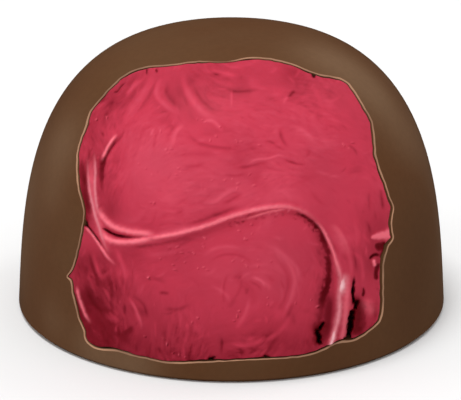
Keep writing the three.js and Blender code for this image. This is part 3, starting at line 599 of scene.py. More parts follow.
class ShellSettings(bpy.types.PropertyGroup):
    """Sizes and colours of the chocolate."""

    wall: FloatProperty(
        name="Wall", description="Thickness of the shell's wall", default=1.0 * MM, unit="LENGTH")
    floor: FloatProperty(
        name="Floor", description="Thickness of the shell's floor", default=0.8 * MM, unit="LENGTH")
    break_width: FloatProperty(
        name="Broken edge", description="Width of the pale broken edge", default=0.09 * MM, unit="LENGTH")
    break_depth: FloatProperty(
        name="Edge depth", description="How far in the pale edge slopes", default=0.06 * MM, unit="LENGTH")
    band: FloatProperty(
        name="Band", description="Least width of the brown band inside the pale edge", default=0.03 * MM,
        unit="LENGTH")
    band_depth: FloatProperty(
        name="Band depth", description="How far in the brown band slopes", default=0.2 * MM, unit="LENGTH")
    chocolate: FloatVectorProperty(
        name="Chocolate", description="Colour of the moulded surface", subtype="COLOR", size=3,
        default=(0.104, 0.044, 0.0185))
    # The paler colour, for the seeded bloom and for the patches of painted sheen.
    bloom_and_sheen_colour: FloatVectorProperty(
        name="Bloomed chocolate", description="Colour where the surface has bloomed", subtype="COLOR",
        size=3, default=(0.155, 0.085, 0.046))
    # The darker colour, for the seeded dark patches and for the patches of painted shade.
    deep: FloatVectorProperty(
        name="Deep chocolate", description="Colour where the surface is darkest", subtype="COLOR", size=3,
        default=(0.08, 0.034, 0.0145))
    broken: FloatVectorProperty(
        name="Broken chocolate", description="Colour of the broken edge", subtype="COLOR", size=3,
        default=(0.44, 0.236, 0.138))
    segments: IntProperty(name="Segments", description="Faces round the dome", default=192)
    steps: IntProperty(name="Steps", description="Faces up the dome's side", default=72)


class CreamSettings(bpy.types.PropertyGroup):
    """Sizes and colours of the berry cream."""

    depth: FloatProperty(
        name="Depth", description="How far the cream's face lies below the dome's outside",
        default=0.08 * MM, unit="LENGTH")
    cell: FloatProperty(
        name="Cell", description="Size of the face's mesh", default=0.078 * MM, unit="LENGTH")
    gap: FloatProperty(
        name="Gap", description="Least gap between the cream and the rim", default=0.005 * MM, unit="LENGTH")
    rounding: FloatProperty(
        name="Rounding", description="How wide the cream's edge rounds over", default=0.22 * MM,
        unit="LENGTH")
    edge_drop: FloatProperty(
        name="Edge drop", description="How far the cream's edge rounds down", default=0.04 * MM,
        unit="LENGTH")
    clearance: FloatProperty(
        name="Clearance", description="Room between the cream and the inside of the shell",
        default=0.06 * MM, unit="LENGTH")
    colour: FloatVectorProperty(
        name="Cream", description="Colour of the cream", subtype="COLOR", size=3,
        default=(0.522, 0.036, 0.071))
    # Also the colour of painted light, on ridges and in the paler patches.
    light: FloatVectorProperty(
        name="Light smears", description="Colour of the paler smears", subtype="COLOR", size=3,
        default=(0.72, 0.09, 0.145))
    # Also the colour of painted shade, in grooves, under the lip, round cracks and in the darker patches.
    dark: FloatVectorProperty(
        name="Dark smears", description="Colour of the darker smears", subtype="COLOR", size=3,
        default=(0.255, 0.009, 0.023))
    # The colour of the painted highlights on the crests.
    pale: FloatVectorProperty(
        name="Crests", description="Colour of the palest crests", subtype="COLOR", size=3,
        default=(1.0, 0.2, 0.26))
    # The colour of the painted shade deep in cracks and sunk places.
    deep: FloatVectorProperty(
        name="Cracks", description="Colour deep in the cracks", subtype="COLOR", size=3,
        default=(0.03, 0.0, 0.001))
    # Also the colour of the deepest painted shade, as in the dark hollow at the right.
    ruby: FloatVectorProperty(
        name="Darkest smears", description="Colour of the very darkest smears", subtype="COLOR", size=3,
        default=(0.12, 0.0, 0.003))
    # The colours of the painted highlight on the glinting ridges: rose where weaker, white where strongest.
    rose: FloatVectorProperty(
        name="Rose crest", description="Colour of the chalky crests", subtype="COLOR", size=3,
        default=(0.7, 0.2, 0.24))
    white: FloatVectorProperty(
        name="White crest", description="Colour of the very palest crest", subtype="COLOR", size=3,
        default=(0.95, 0.56, 0.59))
    smears: IntProperty(name="Smears", description="How many fine smears there are", default=420)


# How bright the surround is where it is mirrored, as a share of its strength.
MIRRORED_SHARE = 0.12

# The size and place of each light in metres, and the place that they all face.
LIGHTS = {
    "overhead": (0.16, (-0.06, -0.03, 0.4)),
    "left": (0.14, (-0.36, -0.02, 0.16)),
    "right": (0.12, (0.22, 0.14, 0.32)),
}
LIT_PLACE = Vector((0, 0, 0.008))

# The floor's half-width in millimetres and its colour, and the camera's sensor.
FLOOR_HALF = 1500
FLOOR_COLOUR = (0.825, 0.825, 0.825)
SENSOR_WIDTH = 36


class StageSettings(bpy.types.PropertyGroup):
    """Camera, floor and lights."""

    elevation: FloatProperty(
        name="Elevation", description="Camera's height above the horizon", default=math.radians(19.9),
        subtype="ANGLE")
    distance: FloatProperty(name="Distance", description="Camera to target", default=150 * MM, unit="LENGTH")
    target: FloatProperty(
        name="Target", description="Height that the camera looks at", default=7.12 * MM, unit="LENGTH")
    sideways: FloatProperty(
        name="Sideways", description="Camera's offset to the side", default=-0.062 * MM, unit="LENGTH")
    lens: FloatProperty(
        name="Lens", description="Focal length in millimetres on the camera's sensor", default=167.9)
    ambient: FloatProperty(name="Ambient", description="Strength of the white surround", default=0.7)
    overhead: FloatProperty(name="Overhead", description="Power of the light overhead", default=0.85)
    left: FloatProperty(name="Left", description="Power of the light at the left", default=0.1)
    right: FloatProperty(name="Right", description="Power of the light behind the right", default=0.15)


def smoothstep(value, low, high):
    """0 below low, 1 above high, and smooth between them."""
    share = np.clip((value - low) / (high - low), 0, 1)
    return share * share * (3 - 2 * share)


def smooth_curve(corners, count, closed=False):
    """Evenly spaced points along a centripetal Catmull-Rom curve through the corners."""
    corners = np.array(corners, float)
    if closed:
        padded = np.vstack([corners[-1], corners, corners[:2]])
    else:
        padded = np.vstack([2 * corners[0] - corners[1], corners, 2 * corners[-1] - corners[-2]])
    parts = []
    for four in zip(padded, padded[1:], padded[2:], padded[3:]):
        parts.append(curve_part(*four))
    last = corners[0] if closed else corners[-1]
    dense = np.vstack(parts + [last])
    travelled = np.concatenate([[0], np.cumsum(np.linalg.norm(np.diff(dense, axis=0), axis=1))])
    wanted = np.linspace(0, travelled[-1], count, endpoint=not closed)
    return np.column_stack([np.interp(wanted, travelled, column) for column in dense.T])


def curve_part(a, b, c, d, samples=16):
    """The stretch from b to c of a centripetal Catmull-Rom curve."""
    t1 = np.linalg.norm(b - a) ** 0.5
    t2 = t1 + np.linalg.norm(c - b) ** 0.5
    t3 = t2 + np.linalg.norm(d - c) ** 0.5
    t = np.linspace(t1, t2, samples, endpoint=False)[:, None]
    ab = (t1 - t) / t1 * a + t / t1 * b
    bc = (t2 - t) / (t2 - t1) * b + (t - t1) / (t2 - t1) * c
    cd = (t3 - t) / (t3 - t2) * c + (t - t2) / (t3 - t2) * d
    abc = (t2 - t) / t2 * ab + t / t2 * bc
    bcd = (t3 - t) / (t3 - t1) * bc + (t - t1) / (t3 - t1) * cd
    return (t2 - t) / (t2 - t1) * abc + (t - t1) / (t2 - t1) * bcd


def dome_at(points):
    """Depth of points below the dome's outside, and the direction straight out of the dome there."""
    height = np.maximum(points[:, 2], 0) / DOME_HEIGHT
    radius = np.maximum(np.hypot(points[:, 0], points[:, 1]), LEAST_RADIUS)
    full_radius = BASE_RADIUS * (1 - TAPER * height)
    share = radius / full_radius
    level = share**SIDE_POWER + height**CROWN_POWER - 1
    slope_out = SIDE_POWER * share ** (SIDE_POWER - 1) / full_radius
    slope_up = SIDE_POWER * share**SIDE_POWER * TAPER * BASE_RADIUS / full_radius
    slope_up = (slope_up + CROWN_POWER * height ** (CROWN_POWER - 1)) / DOME_HEIGHT
    along = slope_out / radius
    normal = np.column_stack([along * points[:, 0], along * points[:, 1], slope_up])
    length = np.linalg.norm(normal, axis=1)
    return -level / length, normal / length[:, None]


def from_plane(u, v, out):
    """Points at u and v on the leaning plane, moved along its outward direction."""
    across = np.outer(u, (1.0, 0.0, 0.0))
    return across + np.outer(v, PLANE_UP) + np.outer(out, PLANE_OUT)


def on_dome(u, v, depth):
    """The points at u and v that lie at a depth below the dome's outside."""
    low = np.zeros(len(u))
    high = np.full(len(u), PLANE_REACH)
    for _ in range(SEARCH_STEPS):
        middle = (low + high) / 2
        inside = dome_at(from_plane(u, v, middle))[0] > depth
        low = np.where(inside, middle, low)
        high = np.where(inside, high, middle)
    return from_plane(u, v, high)


def dome_profile(inset, start, steps):
    """Evenly spaced radius and height up the dome's side, moved inwards by inset, from a start height."""
    angle = np.linspace(0, math.pi / 2, PROFILE_SAMPLES)
    height = DOME_HEIGHT * np.sin(angle) ** (2 / CROWN_POWER)
    radius = BASE_RADIUS * (1 - TAPER * height / DOME_HEIGHT)
    radius = radius * np.maximum(np.cos(angle), 0) ** (2 / SIDE_POWER)
    points = np.column_stack([radius, np.zeros(PROFILE_SAMPLES), height])
    moved = points - inset * dome_at(points)[1]
    first = np.array([np.interp(start, moved[:, 2], moved[:, 0]), 0, start])
    kept = np.vstack([first, moved[moved[:, 2] > start]])[:, [0, 2]]
    travelled = np.concatenate([[0], np.cumsum(np.linalg.norm(np.diff(kept, axis=0), axis=1))])
    wanted = np.linspace(0, travelled[-1], steps + 1)
    profile = np.column_stack([np.interp(wanted, travelled, kept[:, k]) for k in range(2)])
    profile[-1, 0] = 0
    return profile


def mesh_places(mesh):
    """The places of a mesh's vertices, in millimetres."""
    places = np.zeros(len(mesh.vertices) * 3)
    mesh.vertices.foreach_get("co", places)
    return places.reshape(-1, 3) / MM


def new_object(name, bm):
    """Turns a bmesh in millimetres into an object in metres."""
    bmesh.ops.scale(bm, verts=bm.verts, vec=(MM, MM, MM))
    mesh = bpy.data.meshes.new(name)
    bm.to_mesh(mesh)
    bm.free()
    made = bpy.data.objects.new(name, mesh)
    bpy.context.scene.collection.objects.link(made)
    return made


def turned(name, profile, segments):
    """A closed solid turned from a profile that starts and ends on the axis."""
    bm = bmesh.new()
    verts = [bm.verts.new((radius, 0, height)) for radius, height in profile]
    edges = [bm.edges.new(pair) for pair in zip(verts, verts[1:])]
    bmesh.ops.spin(
        bm, geom=verts + edges, cent=(0, 0, 0), axis=(0, 0, 1), dvec=(0, 0, 0),
        angle=math.tau, steps=segments, use_merge=True, use_duplicate=False)
    bmesh.ops.remove_doubles(bm, verts=bm.verts, dist=WELD)
    bmesh.ops.recalc_face_normals(bm, faces=bm.faces)
    return new_object(name, bm)


def combined(target, tool, operation, solver):
    """Applies a boolean of the tool to the target and removes the tool."""
    modifier = target.modifiers.new("combine", "BOOLEAN")
    modifier.operation = operation
    modifier.solver = solver
    modifier.object = tool
    depsgraph = bpy.context.evaluated_depsgraph_get()
    result = bpy.data.meshes.new_from_object(target.evaluated_get(depsgraph))
    target.modifiers.clear()
    if not target.data.materials:
        result.materials.clear()
    old = target.data
    target.data = result
    bpy.data.meshes.remove(old)
    bpy.data.objects.remove(tool)
    if not target.data.polygons:
        raise RuntimeError(f"the {operation.lower()} of {target.name} left nothing")


class Rim:
    """The broken rim on the dome's outside, with the directions that lead away from the opening."""

    def __init__(self, shell, cream):
        outline = smooth_curve(RIM_OUTLINE, RIM_POINTS, closed=True)
        crumble = np.column_stack([self.wave(*CRUMBLE_ACROSS), self.wave(*CRUMBLE_UP)])
        outline = outline + RIM_ROUGHNESS * crumble
        self.points = on_dome(outline[:, 0], outline[:, 1], 0)
        self.normals = dome_at(self.points)[1]
        along = np.roll(self.points, -2, axis=0) - np.roll(self.points, 2, axis=0)
        away = np.cross(along, self.normals)
        self.away = away / np.linalg.norm(away, axis=1)[:, None]
        uneven = 1 + SLOW_SHARE * self.wave(*WIDTH_SLOW) + QUICK_SHARE * self.wave(*WIDTH_QUICK)
        self.edge = self.spots(outline, EDGE_SPOTS, shell.break_width / MM) * uneven
        self.wall = self.edge + self.spots(outline, BAND_SPOTS, shell.band / MM) * uneven
        self.limit = self.wall + self.spots(outline, GAP_SPOTS, cream.gap / MM)
        self.limit = self.limit + GAP_WAVINESS * (1 + self.wave(*GAP_WAVE))

    @staticmethod
    def wave(turns, seed):
        """A smooth seeded wave round the rim, from about -1 to 1."""
        draw = random.Random(seed)
        place = np.linspace(0, math.tau, RIM_POINTS, endpoint=False)
        total = np.zeros(RIM_POINTS)
        for count in range(turns // 2, turns + turns // 2, max(turns // 6, 1)):
            total = total + np.sin(place * count + draw.uniform(0, math.tau)) * draw.uniform(*WAVE_STRENGTHS)
        return total / np.abs(total).max()

    @staticmethod
    def spots(outline, spots, base):
        """A width round the rim: the base, and what the spots add."""
        width = np.full(RIM_POINTS, base)
        for spot in spots:
            away = np.linalg.norm(outline - np.array(spot.place), axis=1)
            width = width + spot.extra * np.exp(-((away / spot.spread) ** 2))
        return width

    def ring(self, depth, inwards):
        """The rim moved into the chocolate by depth and towards the opening's middle by inwards."""
        inwards = np.broadcast_to(inwards, RIM_POINTS)[:, None]
        return self.points - depth * self.normals - inwards * self.away


def set_ring(verts, ring):
    """Moves a ring of vertices to its places."""
    for vert, place in zip(verts, ring):
        vert.co = place


def grown_from(vert, fresh):
    """The fresh vertex that an extrusion made from a vertex."""
    neighbours = [edge.other_vert(vert) for edge in vert.link_edges]
    return next(other for other in neighbours if other in fresh)


def plug(name, rings, materials):
    """A closed plug through rings of rim points, from the deepest ring to the outermost."""
    bm = bmesh.new()
    verts = [bm.verts.new(place) for place in rings[0]]
    edges = [bm.edges.new(pair) for pair in zip(verts, verts[1:] + verts[:1])]
    bmesh.ops.triangle_fill(bm, edges=edges, use_beauty=True, normal=PLANE_OUT)
    for ring, material in zip(rings[1:], materials):
        made = bmesh.ops.extrude_edge_only(bm, edges=edges)["geom"]
        fresh = {item for item in made if isinstance(item, bmesh.types.BMVert)}
        verts = [grown_from(old, fresh) for old in verts]
        edges = [bm.edges.get(pair) for pair in zip(verts, verts[1:] + verts[:1])]
        set_ring(verts, ring)
        for item in made:
            if isinstance(item, bmesh.types.BMFace):
                item.material_index = material
    bmesh.ops.triangle_fill(bm, edges=edges, use_beauty=True, normal=PLANE_OUT)
    bmesh.ops.recalc_face_normals(bm, faces=bm.faces)
    return new_object(name, bm)


def in_front(ring):
    """A ring pushed straight out of the dome onto one plane in front of it."""
    return from_plane(ring[:, 0], ring @ PLANE_UP, np.full(len(ring), PLANE_REACH))


def near_curve(points, corners, reach, samples):
    """For points within reach of a curve: which they are, distance, side and share of the curve's length."""
    line = smooth_curve(corners, samples)
    low = line.min(axis=0) - reach
    high = line.max(axis=0) + reach
    near = np.nonzero(((points > low) & (points < high)).all(axis=1))[0]
    chosen = points[near]
    best = np.full(len(near), np.inf)
    side = np.ones(len(near))
    share = np.zeros(len(near))
    for i, (start, end) in enumerate(zip(line, line[1:])):
        step = end - start
        off = chosen - start
        along = np.clip(off @ step / (step @ step), 0, 1)
        distance = np.linalg.norm(off - along[:, None] * step, axis=1)
        closer = distance < best
        best[closer] = distance[closer]
        side[closer] = np.sign(step[0] * off[closer, 1] - step[1] * off[closer, 0])
        share[closer] = (i + along[closer]) / (samples - 1)
    return near, best, side, share


def faded(share, starts, ends):
    """Fades a fold in and out over shares of its length."""
    rise = smoothstep(share, -LEAST_FADE, max(starts, LEAST_FADE))
    return rise * smoothstep(1 - share, -LEAST_FADE, max(ends, LEAST_FADE))


def wisp_list():
    """The placed wisps, seeded arcs of the spiral and seeded upright streaks."""
    draw = random.Random(WISP_SEED)
    seeded = [drawn_wisp(draw, arc_path(draw), ARC_TONE, ARC_WIDTH) for _ in range(ARC_COUNT)]
    for _ in range(UPRIGHT_COUNT):
        seeded.append(drawn_wisp(draw, upright_path(draw), UPRIGHT_TONE, UPRIGHT_WIDTH))
    return WISPS + seeded


def arc_path(draw):
    """A seeded arc round the spiral's centre."""
    radius = draw.uniform(*ARC_RADIUS)
    start = draw.uniform(*ARC_START)
    turns = [start + share * draw.uniform(*ARC_TURN) for share in (0, 0.5, 1)]
    u, v = ARC_CENTRE
    return [(u + radius * math.cos(turn), v + radius * math.sin(turn)) for turn in turns]


def upright_path(draw):
    """A seeded, nearly upright line at the cream's foot."""
    u = draw.uniform(*UPRIGHT_U)
    top = draw.uniform(*UPRIGHT_TOP)
    return [(u, top), (u + draw.uniform(*UPRIGHT_LEAN), top - draw.uniform(*UPRIGHT_LENGTH))]


def drawn_wisp(draw, path, tones, widths):
    """A wisp along a path, with a seeded tone and half-widths."""
    tone = draw.uniform(*tones)
    left = draw.uniform(*widths)
    right = draw.uniform(*widths)
    return Wisp(tone, left, right, path)


def fold_fields(points):
    """What folds do at points in u and v: height, painted light and shade, painted crest highlight, painted
    glint of the glinting ridges and how deep.
    """
    height, tone, pale, chalk, deep = np.zeros((5, len(points)))
    ragged = read_grid(soft_noise(RAGGED_GRAIN, RAGGED_SEED), RAGGED_GRAIN, points)
    for fold in FOLDS:
        reach = REACH * max(fold.left, fold.right)
        near, distance, side, share = near_curve(points, fold.path, reach, FOLD_SAMPLES)
        strength = faded(share, fold.starts, fold.ends)
        if fold.kind == "lip":
            below = -side * distance
            edge = smoothstep(below, -LIP_ROUNDING, LIP_ROUNDING)
            drop = fold.height * strength * edge * np.exp(-np.maximum(below, 0) / fold.right)
            height[near] -= drop
            # Painted shade below the lip.
            tone[near] -= LIP_SHADE * drop
        else:
            width = np.where(side > 0, fold.left, fold.right)
            if fold.kind == "flake":
                width = width * np.sqrt(np.maximum(share, FLAKE_TIP))
            distance = distance + RAGGED[fold.kind] * width * ragged[near]
            power = STEEP_POWER if fold.kind in ("crack", "flake") else 2
            shape = strength * np.exp(-((distance / width) ** power))
            height[near] += fold.height * shape
            # Ridges are painted lighter and grooves darker for their height, with the fold's own tone: painted
            # light and shade.
            tone[near] += (RIDGE_SHADING * np.clip(fold.height, *RIDGE_SHADING_HEIGHTS) + fold.tone) * shape
            # The painted highlight along the crest; a glinting ridge keeps its own.
            crest = fold.pale * strength * np.exp(-((distance / (HIGHLIGHT_SHARE * width)) ** power))
            field = chalk if fold.kind == "chalky" else pale
            field[near] = np.maximum(field[near], crest)
            # A crack is marked for painted shade deep in it, and painted shade is laid round it.
            if fold.kind == "crack":
                deep[near] = np.maximum(deep[near], shape)
                tone[near] -= CRACK_SHADOW * strength * np.exp(-((distance / (CRACK_SHADOW_WIDTH * width)) ** 2))
    for wisp in wisp_list():
        reach = REACH * max(wisp.left, wisp.right)
        near, distance, side, share = near_curve(points, wisp.path, reach, FOLD_SAMPLES)
        width = np.where(side > 0, wisp.left, wisp.right)
        shape = faded(share, WISP_FADE, WISP_FADE) * np.exp(-((distance / width) ** 2))
        height[near] += WISP_HEIGHT * wisp.tone * shape
        tone[near] += wisp.tone * shape
    for swell in SWELLS:
        away = np.linalg.norm(points - np.array(swell.centre), axis=1)
        height = height + swell.height * np.exp(-((away / swell.radius) ** 2))
    return height, tone, pale, chalk, deep


def shade_field(points):
    """How light or dark the broad patches of the cream are at points in u and v."""
    tone = np.zeros(len(points))
    for shade in SHADES:
        away = np.linalg.norm(points - np.array(shade.centre), axis=1)
        tone = tone + shade.tone * np.exp(-((away / shade.radius) ** 2))
    return tone


def grid_places(step):
    """An even grid of places over the opening: its shape, and u and v of each."""
    columns, rows = np.ceil((OPENING_HIGH - OPENING_LOW) / step).astype(int) + 2
    v, u = np.mgrid[0:rows, 0:columns] * step
    return (rows, columns), np.column_stack([u.ravel(), v.ravel()]) + OPENING_LOW


def read_grid(values, step, points):
    """Values between the points of a grid over the opening."""
    rows, columns = values.shape
    place = np.clip((points - OPENING_LOW) / step, 0, (columns - 1.001, rows - 1.001))
    whole = place.astype(int)
    x, y = (place - whole).T
    column, row = whole.T
    lower = values[row, column] * (1 - x) + values[row, column + 1] * x
    upper = values[row + 1, column] * (1 - x) + values[row + 1, column + 1] * x
    return lower * (1 - y) + upper * y


def soft_noise(grain, seed):
    """A seeded grid of even noise whose cells are as large as the grain."""
    return np.random.default_rng(seed).standard_normal(grid_places(grain)[0])


def flow_field():
    """The doubled angle of the flow over the opening, as grids of its cosine and sine."""
    shape, places = grid_places(FLOW_STEP)
    total = np.zeros((len(places), 2))
    for flow in FLOWS:
        line = smooth_curve(flow, FLOW_SAMPLES)
        gap = np.linalg.norm(places[:, None] - line[None, :-1], axis=2)
        nearest = gap.argmin(axis=1)
        step = np.diff(line, axis=0)[nearest]
        angle = 2 * np.arctan2(step[:, 1], step[:, 0])
        weight = 1 / (FLOW_SOFTNESS + gap.min(axis=1)) ** FLOW_POWER
        total += weight[:, None] * np.column_stack([np.cos(angle), np.sin(angle)])
    angle = np.arctan2(total[:, 1], total[:, 0])
    angle += WANDER * read_grid(soft_noise(WANDER_GRAIN, WANDER_SEED), WANDER_GRAIN, places)
    return np.cos(angle).reshape(shape), np.sin(angle).reshape(shape)


FLOW_FIELD = flow_field()


def flow_at(points, heading=None):
    """The flow's direction at points in u and v, turned to the side of a heading."""
    cosine, sine = (read_grid(part, FLOW_STEP, points) for part in FLOW_FIELD)
    angle = np.arctan2(sine, cosine) / 2
    direction = np.column_stack([np.cos(angle), np.sin(angle)])
    if heading is not None:
        direction *= np.where((direction * heading).sum(axis=1) < 0, -1, 1)[:, None]
    return direction


def streak_values(points, streaks):
    """Noise drawn out along the flow, with a spread of one."""
    noise = soft_noise(streaks.grain, streaks.seed)
    total = read_grid(noise, streaks.grain, points)
    for sign in (-1, 1):
        place = points
        heading = sign * flow_at(points)
        for _ in range(STREAK_STEPS):
            place = place + heading * streaks.length / 2 / STREAK_STEPS
            heading = flow_at(place, heading)
            total = total + read_grid(noise, streaks.grain, place)
    return (total - total.mean()) / total.std()


def streak_fields(points):
    """What the fine streaks do at points in u and v: the height they add and how light or dark they are."""
    calm = read_grid(soft_noise(CALM_GRAIN, CALM_SEED), CALM_GRAIN, points)
    lively = CALM[0] + (CALM[1] - CALM[0]) * smoothstep(calm, *CALM_NOISE)
    height = np.zeros(len(points))
    tone = np.zeros(len(points))
    for streaks in STREAKS:
        values = streak_values(points, streaks)
        values = values * smoothstep(np.abs(values), *STREAK_SOFTNESS) * lively
        height += streaks.height * values
        tone += streaks.tone * values
    return height, tone


def smear_path(draw, place, length):
    """A short bent path that follows the flow from a place."""
    place = np.array([place])
    turn = draw.uniform(*FIRST_TURN)
    bend = draw.uniform(*TURN_GAINED)
    path = [place[0]]
    heading = flow_at(place)
    for _ in range(STROKE_STEPS):
        heading = flow_at(place, heading)
        turn = turn + bend
        place = place + rotated(heading[0], turn) * length / STROKE_STEPS
        path.append(place[0])
    return path


def rotated(direction, angle):
    """A flat direction turned by an angle."""
    x, y = direction
    return np.array([x * math.cos(angle) - y * math.sin(angle), x * math.sin(angle) + y * math.cos(angle)])


def smear_fields(points, count):
    """Seeded smears at points in u and v: the height they add, how light or dark, and how pale."""
    draw = random.Random(SMEAR_SEED)
    fields = np.zeros((3, len(points)))
    for smears in SMEARS:
        for _ in range(round(count * smears.share)):
            add_smear(points, fields, draw, smears)
    for u, v in SPECKS * SPECKS_EACH:
        place = (draw.gauss(u, SPECK_SPREAD), draw.gauss(v, SPECK_SPREAD / 2))
        add_speck(points, fields, draw, place)
    lip = smooth_curve(FOLDS[0].path, FOLD_SAMPLES)
    for _ in range(CRUMB_COUNT):
        add_crumb(points, fields, draw, lip)
    return fields


def add_smear(points, fields, draw, smears):
    """One fine smear of a kind, anywhere in the opening."""
    place = (draw.uniform(*SMEAR_U), draw.uniform(*SMEAR_V))
    path = smear_path(draw, place, draw.uniform(*smears.length))
    strength = draw.uniform(-1, 1)
    width = draw.uniform(*smears.width)
    stroke(points, fields, path, width, strength * smears.height, strength * smears.tone, 0)


def add_speck(points, fields, draw, place):
    """A small raised speck with a painted highlight, and a painted shadow beside it as its dark tail."""
    width = draw.uniform(*SPECK_WIDTH)
    path = smear_path(draw, place, draw.uniform(*SPECK_LENGTH))
    stroke(points, fields, path, width, SPECK_HEIGHT, SPECK_TONE, draw.uniform(*SPECK_HIGHLIGHT))
    shadow_tail = np.array(path) + np.array(SHADOW_TAIL_OFFSET) * width
    stroke(points, fields, shadow_tail, width, 0, SHADOW_TAIL_TONE, 0)


def add_crumb(points, fields, draw, lip):
    """A crumbly stroke under the lip."""
    index = round(draw.uniform(*CRUMB_SHARES) * (FOLD_SAMPLES - 2))
    step = lip[index + 1] - lip[index]
    below = rotated(step / np.linalg.norm(step), -math.pi / 2)
    place = lip[index] + below * draw.uniform(*CRUMB_OFFSET)
    path = smear_path(draw, place, draw.uniform(*CRUMB_LENGTH))
    strength = draw.uniform(*CRUMB_STRENGTH)
    width = draw.uniform(*CRUMB_WIDTH)
    pale = CRUMB_PALE * max(strength, 0)
    stroke(points, fields, path, width, CRUMB_HEIGHT * strength, CRUMB_TONE * strength, pale)


def stroke(points, fields, path, width, height, tone, pale):
    """Adds a stroke's height, tone and paleness along a path, soft on one side and sharper on the other."""
    near, distance, side, share = near_curve(points, path, SMEAR_REACH * width, SMEAR_SAMPLES)
    width = np.where(side > 0, width, SHARP_SIDE * width)
    shape = np.exp(-((distance / width) ** 2)) * faded(share, SMEAR_FADE, SMEAR_FADE)
    for field, amount in zip(fields, (height, tone, pale)):
        if amount:
            field[near] += amount * shape


def inside_distance(points, rim, depth):
    """How far points in u and v lie inside the cream's edge at a depth."""
    wall = rim.ring(depth, rim.limit)
    wall_plane = np.column_stack([wall[:, 0], wall @ PLANE_UP])
    away = np.column_stack([rim.away[:, 0], rim.away @ PLANE_UP])
    away = away / np.linalg.norm(away, axis=1)[:, None]
    best = np.full(len(points), np.inf)
    inside = np.zeros(len(points))
    for place, out in zip(wall_plane, away):
        off = points - place
        distance = np.einsum("ij,ij->i", off, off)
        closer = distance < best
        best[closer] = distance[closer]
        inside[closer] = -(off[closer] @ out)
    return inside


def cream_face(u, v, rim, settings):
    """Where the cream's folded face lies at u and v."""
    points = np.column_stack([u, v])
    depth = settings.depth / MM
    height = fold_fields(points)[0] + smear_fields(points, settings.smears)[0] + streak_fields(points)[0]
    inside = np.clip(inside_distance(points, rim, depth) / (settings.rounding / MM), 0, 1)
    height = height - settings.edge_drop / MM * (1 - inside) ** 2
    height = np.minimum(height, depth + HIGHEST)
    return on_dome(u, v, depth) + np.outer(height, PLANE_OUT)


def cream_block(rim, settings, shell):
    """A closed block whose front is the folded face, wide enough to cover the opening."""
    low = np.min(RIM_OUTLINE, axis=0) - BLOCK_MARGIN
    high = np.max(RIM_OUTLINE, axis=0) + BLOCK_MARGIN
    middle = (low + high) / 2
    half = (high - low) / 2
    columns, rows = np.ceil(2 * half / (settings.cell / MM)).astype(int)
    bm = bmesh.new()
    bmesh.ops.create_grid(bm, x_segments=int(columns), y_segments=int(rows), size=1)
    bmesh.ops.scale(bm, verts=bm.verts, vec=(half[0], half[1], 1))
    bmesh.ops.translate(bm, verts=bm.verts, vec=(middle[0], middle[1], 0))
    verts = list(bm.verts)
    inside = inside_distance(np.array([vert.co.xy for vert in verts]), rim, settings.depth / MM)
    far = [vert for vert, distance in zip(verts, inside) if distance < -BLOCK_MARGIN]
    bmesh.ops.delete(bm, geom=far, context="VERTS")
    loose = [vert for vert in bm.verts if not vert.link_faces]
    bmesh.ops.delete(bm, geom=loose, context="VERTS")
    bmesh.ops.solidify(bm, geom=bm.faces[:], thickness=1)
    bmesh.ops.recalc_face_normals(bm, faces=bm.faces)
    block = new_object("cream_block", bm)
    places = mesh_places(block.data)
    u, v = places[:, 0], places[:, 1]
    level = places[:, 2]
    front = level > (level.min() + level.max()) / 2
    moved = on_dome(u, v, BLOCK_BACK)
    moved[front] = cream_face(u[front], v[front], rim, settings)
    lowest = (shell.floor + 3 * settings.clearance) / MM
    moved[:, 2] = np.maximum(moved[:, 2], lowest)
    block.data.vertices.foreach_set("co", (moved * MM).ravel())
    block.data.update()
    return block


def write_cream_masks(mesh, settings):
    """Stores the painted shade of each place of the cream by its depth and in cracks, how light or dark its
    smears and painted light and shade are, and its painted crest highlights.
    """
    places = mesh_places(mesh)
    sunk = dome_at(places)[0] - settings.depth / MM
    points = np.column_stack([places[:, 0], places @ PLANE_UP])
    _, fold_tone, fold_pale, chalk, deep = fold_fields(points)
    # Painted shade where the cream is sunk deep and in cracks.
    hollow = np.maximum(smoothstep(sunk, *RECESS_SHADE_DEPTHS), deep)
    _, smear_tone, smear_pale = smear_fields(points, settings.smears)
    # The smears' tone, with the painted light and shade of the folds and of the broad patches.
    tone = fold_tone + smear_tone + streak_fields(points)[1] + shade_field(points)
    masks = {"hollow": hollow, "smear": 0.5 + 0.5 * tone, "crest": fold_pale + smear_pale, "chalk": chalk}
    for name, values in masks.items():
        attribute = mesh.attributes.new(name, "FLOAT", "POINT")
        attribute.data.foreach_set("value", np.clip(values, 0, 1).astype(np.float32))


def bloom_and_painted_light_list():
    """The placed patches of painted sheen and shade, and seeded bloom over the back of the dome."""
    draw = random.Random(BEHIND_SEED)
    ranges = (BEHIND_AZIMUTH, BEHIND_HEIGHT, BEHIND_TONE, BEHIND_SPREAD)
    behind = [BloomAndPaintedLight(*[draw.uniform(*span) for span in ranges]) for _ in range(BEHIND_COUNT)]
    return PLACED_SHEEN_AND_SHADE + behind


def write_bloom_and_painted_light(mesh):
    """Stores the painted sheen and shade and the bloom at each place of the chocolate: 0.5 is plain, 1 palest
    and 0 darkest.
    """
    places = mesh_places(mesh)
    profile = dome_profile(0, 0, PROFILE_SAMPLES)
    bloom = np.full(len(places), 0.5)
    for patch in bloom_and_painted_light_list():
        radius = np.interp(patch.height, profile[:, 1], profile[:, 0])
        azimuth = math.radians(patch.azimuth)
        centre = (radius * math.cos(azimuth), radius * math.sin(azimuth), patch.height)
        away = np.linalg.norm(places - centre, axis=1)
        bloom += 0.5 * patch.tone * np.exp(-((away / patch.spread) ** 2))
    attribute = mesh.attributes.new("bloom", "FLOAT", "POINT")
    attribute.data.foreach_set("value", np.clip(bloom, 0, 1).astype(np.float32))


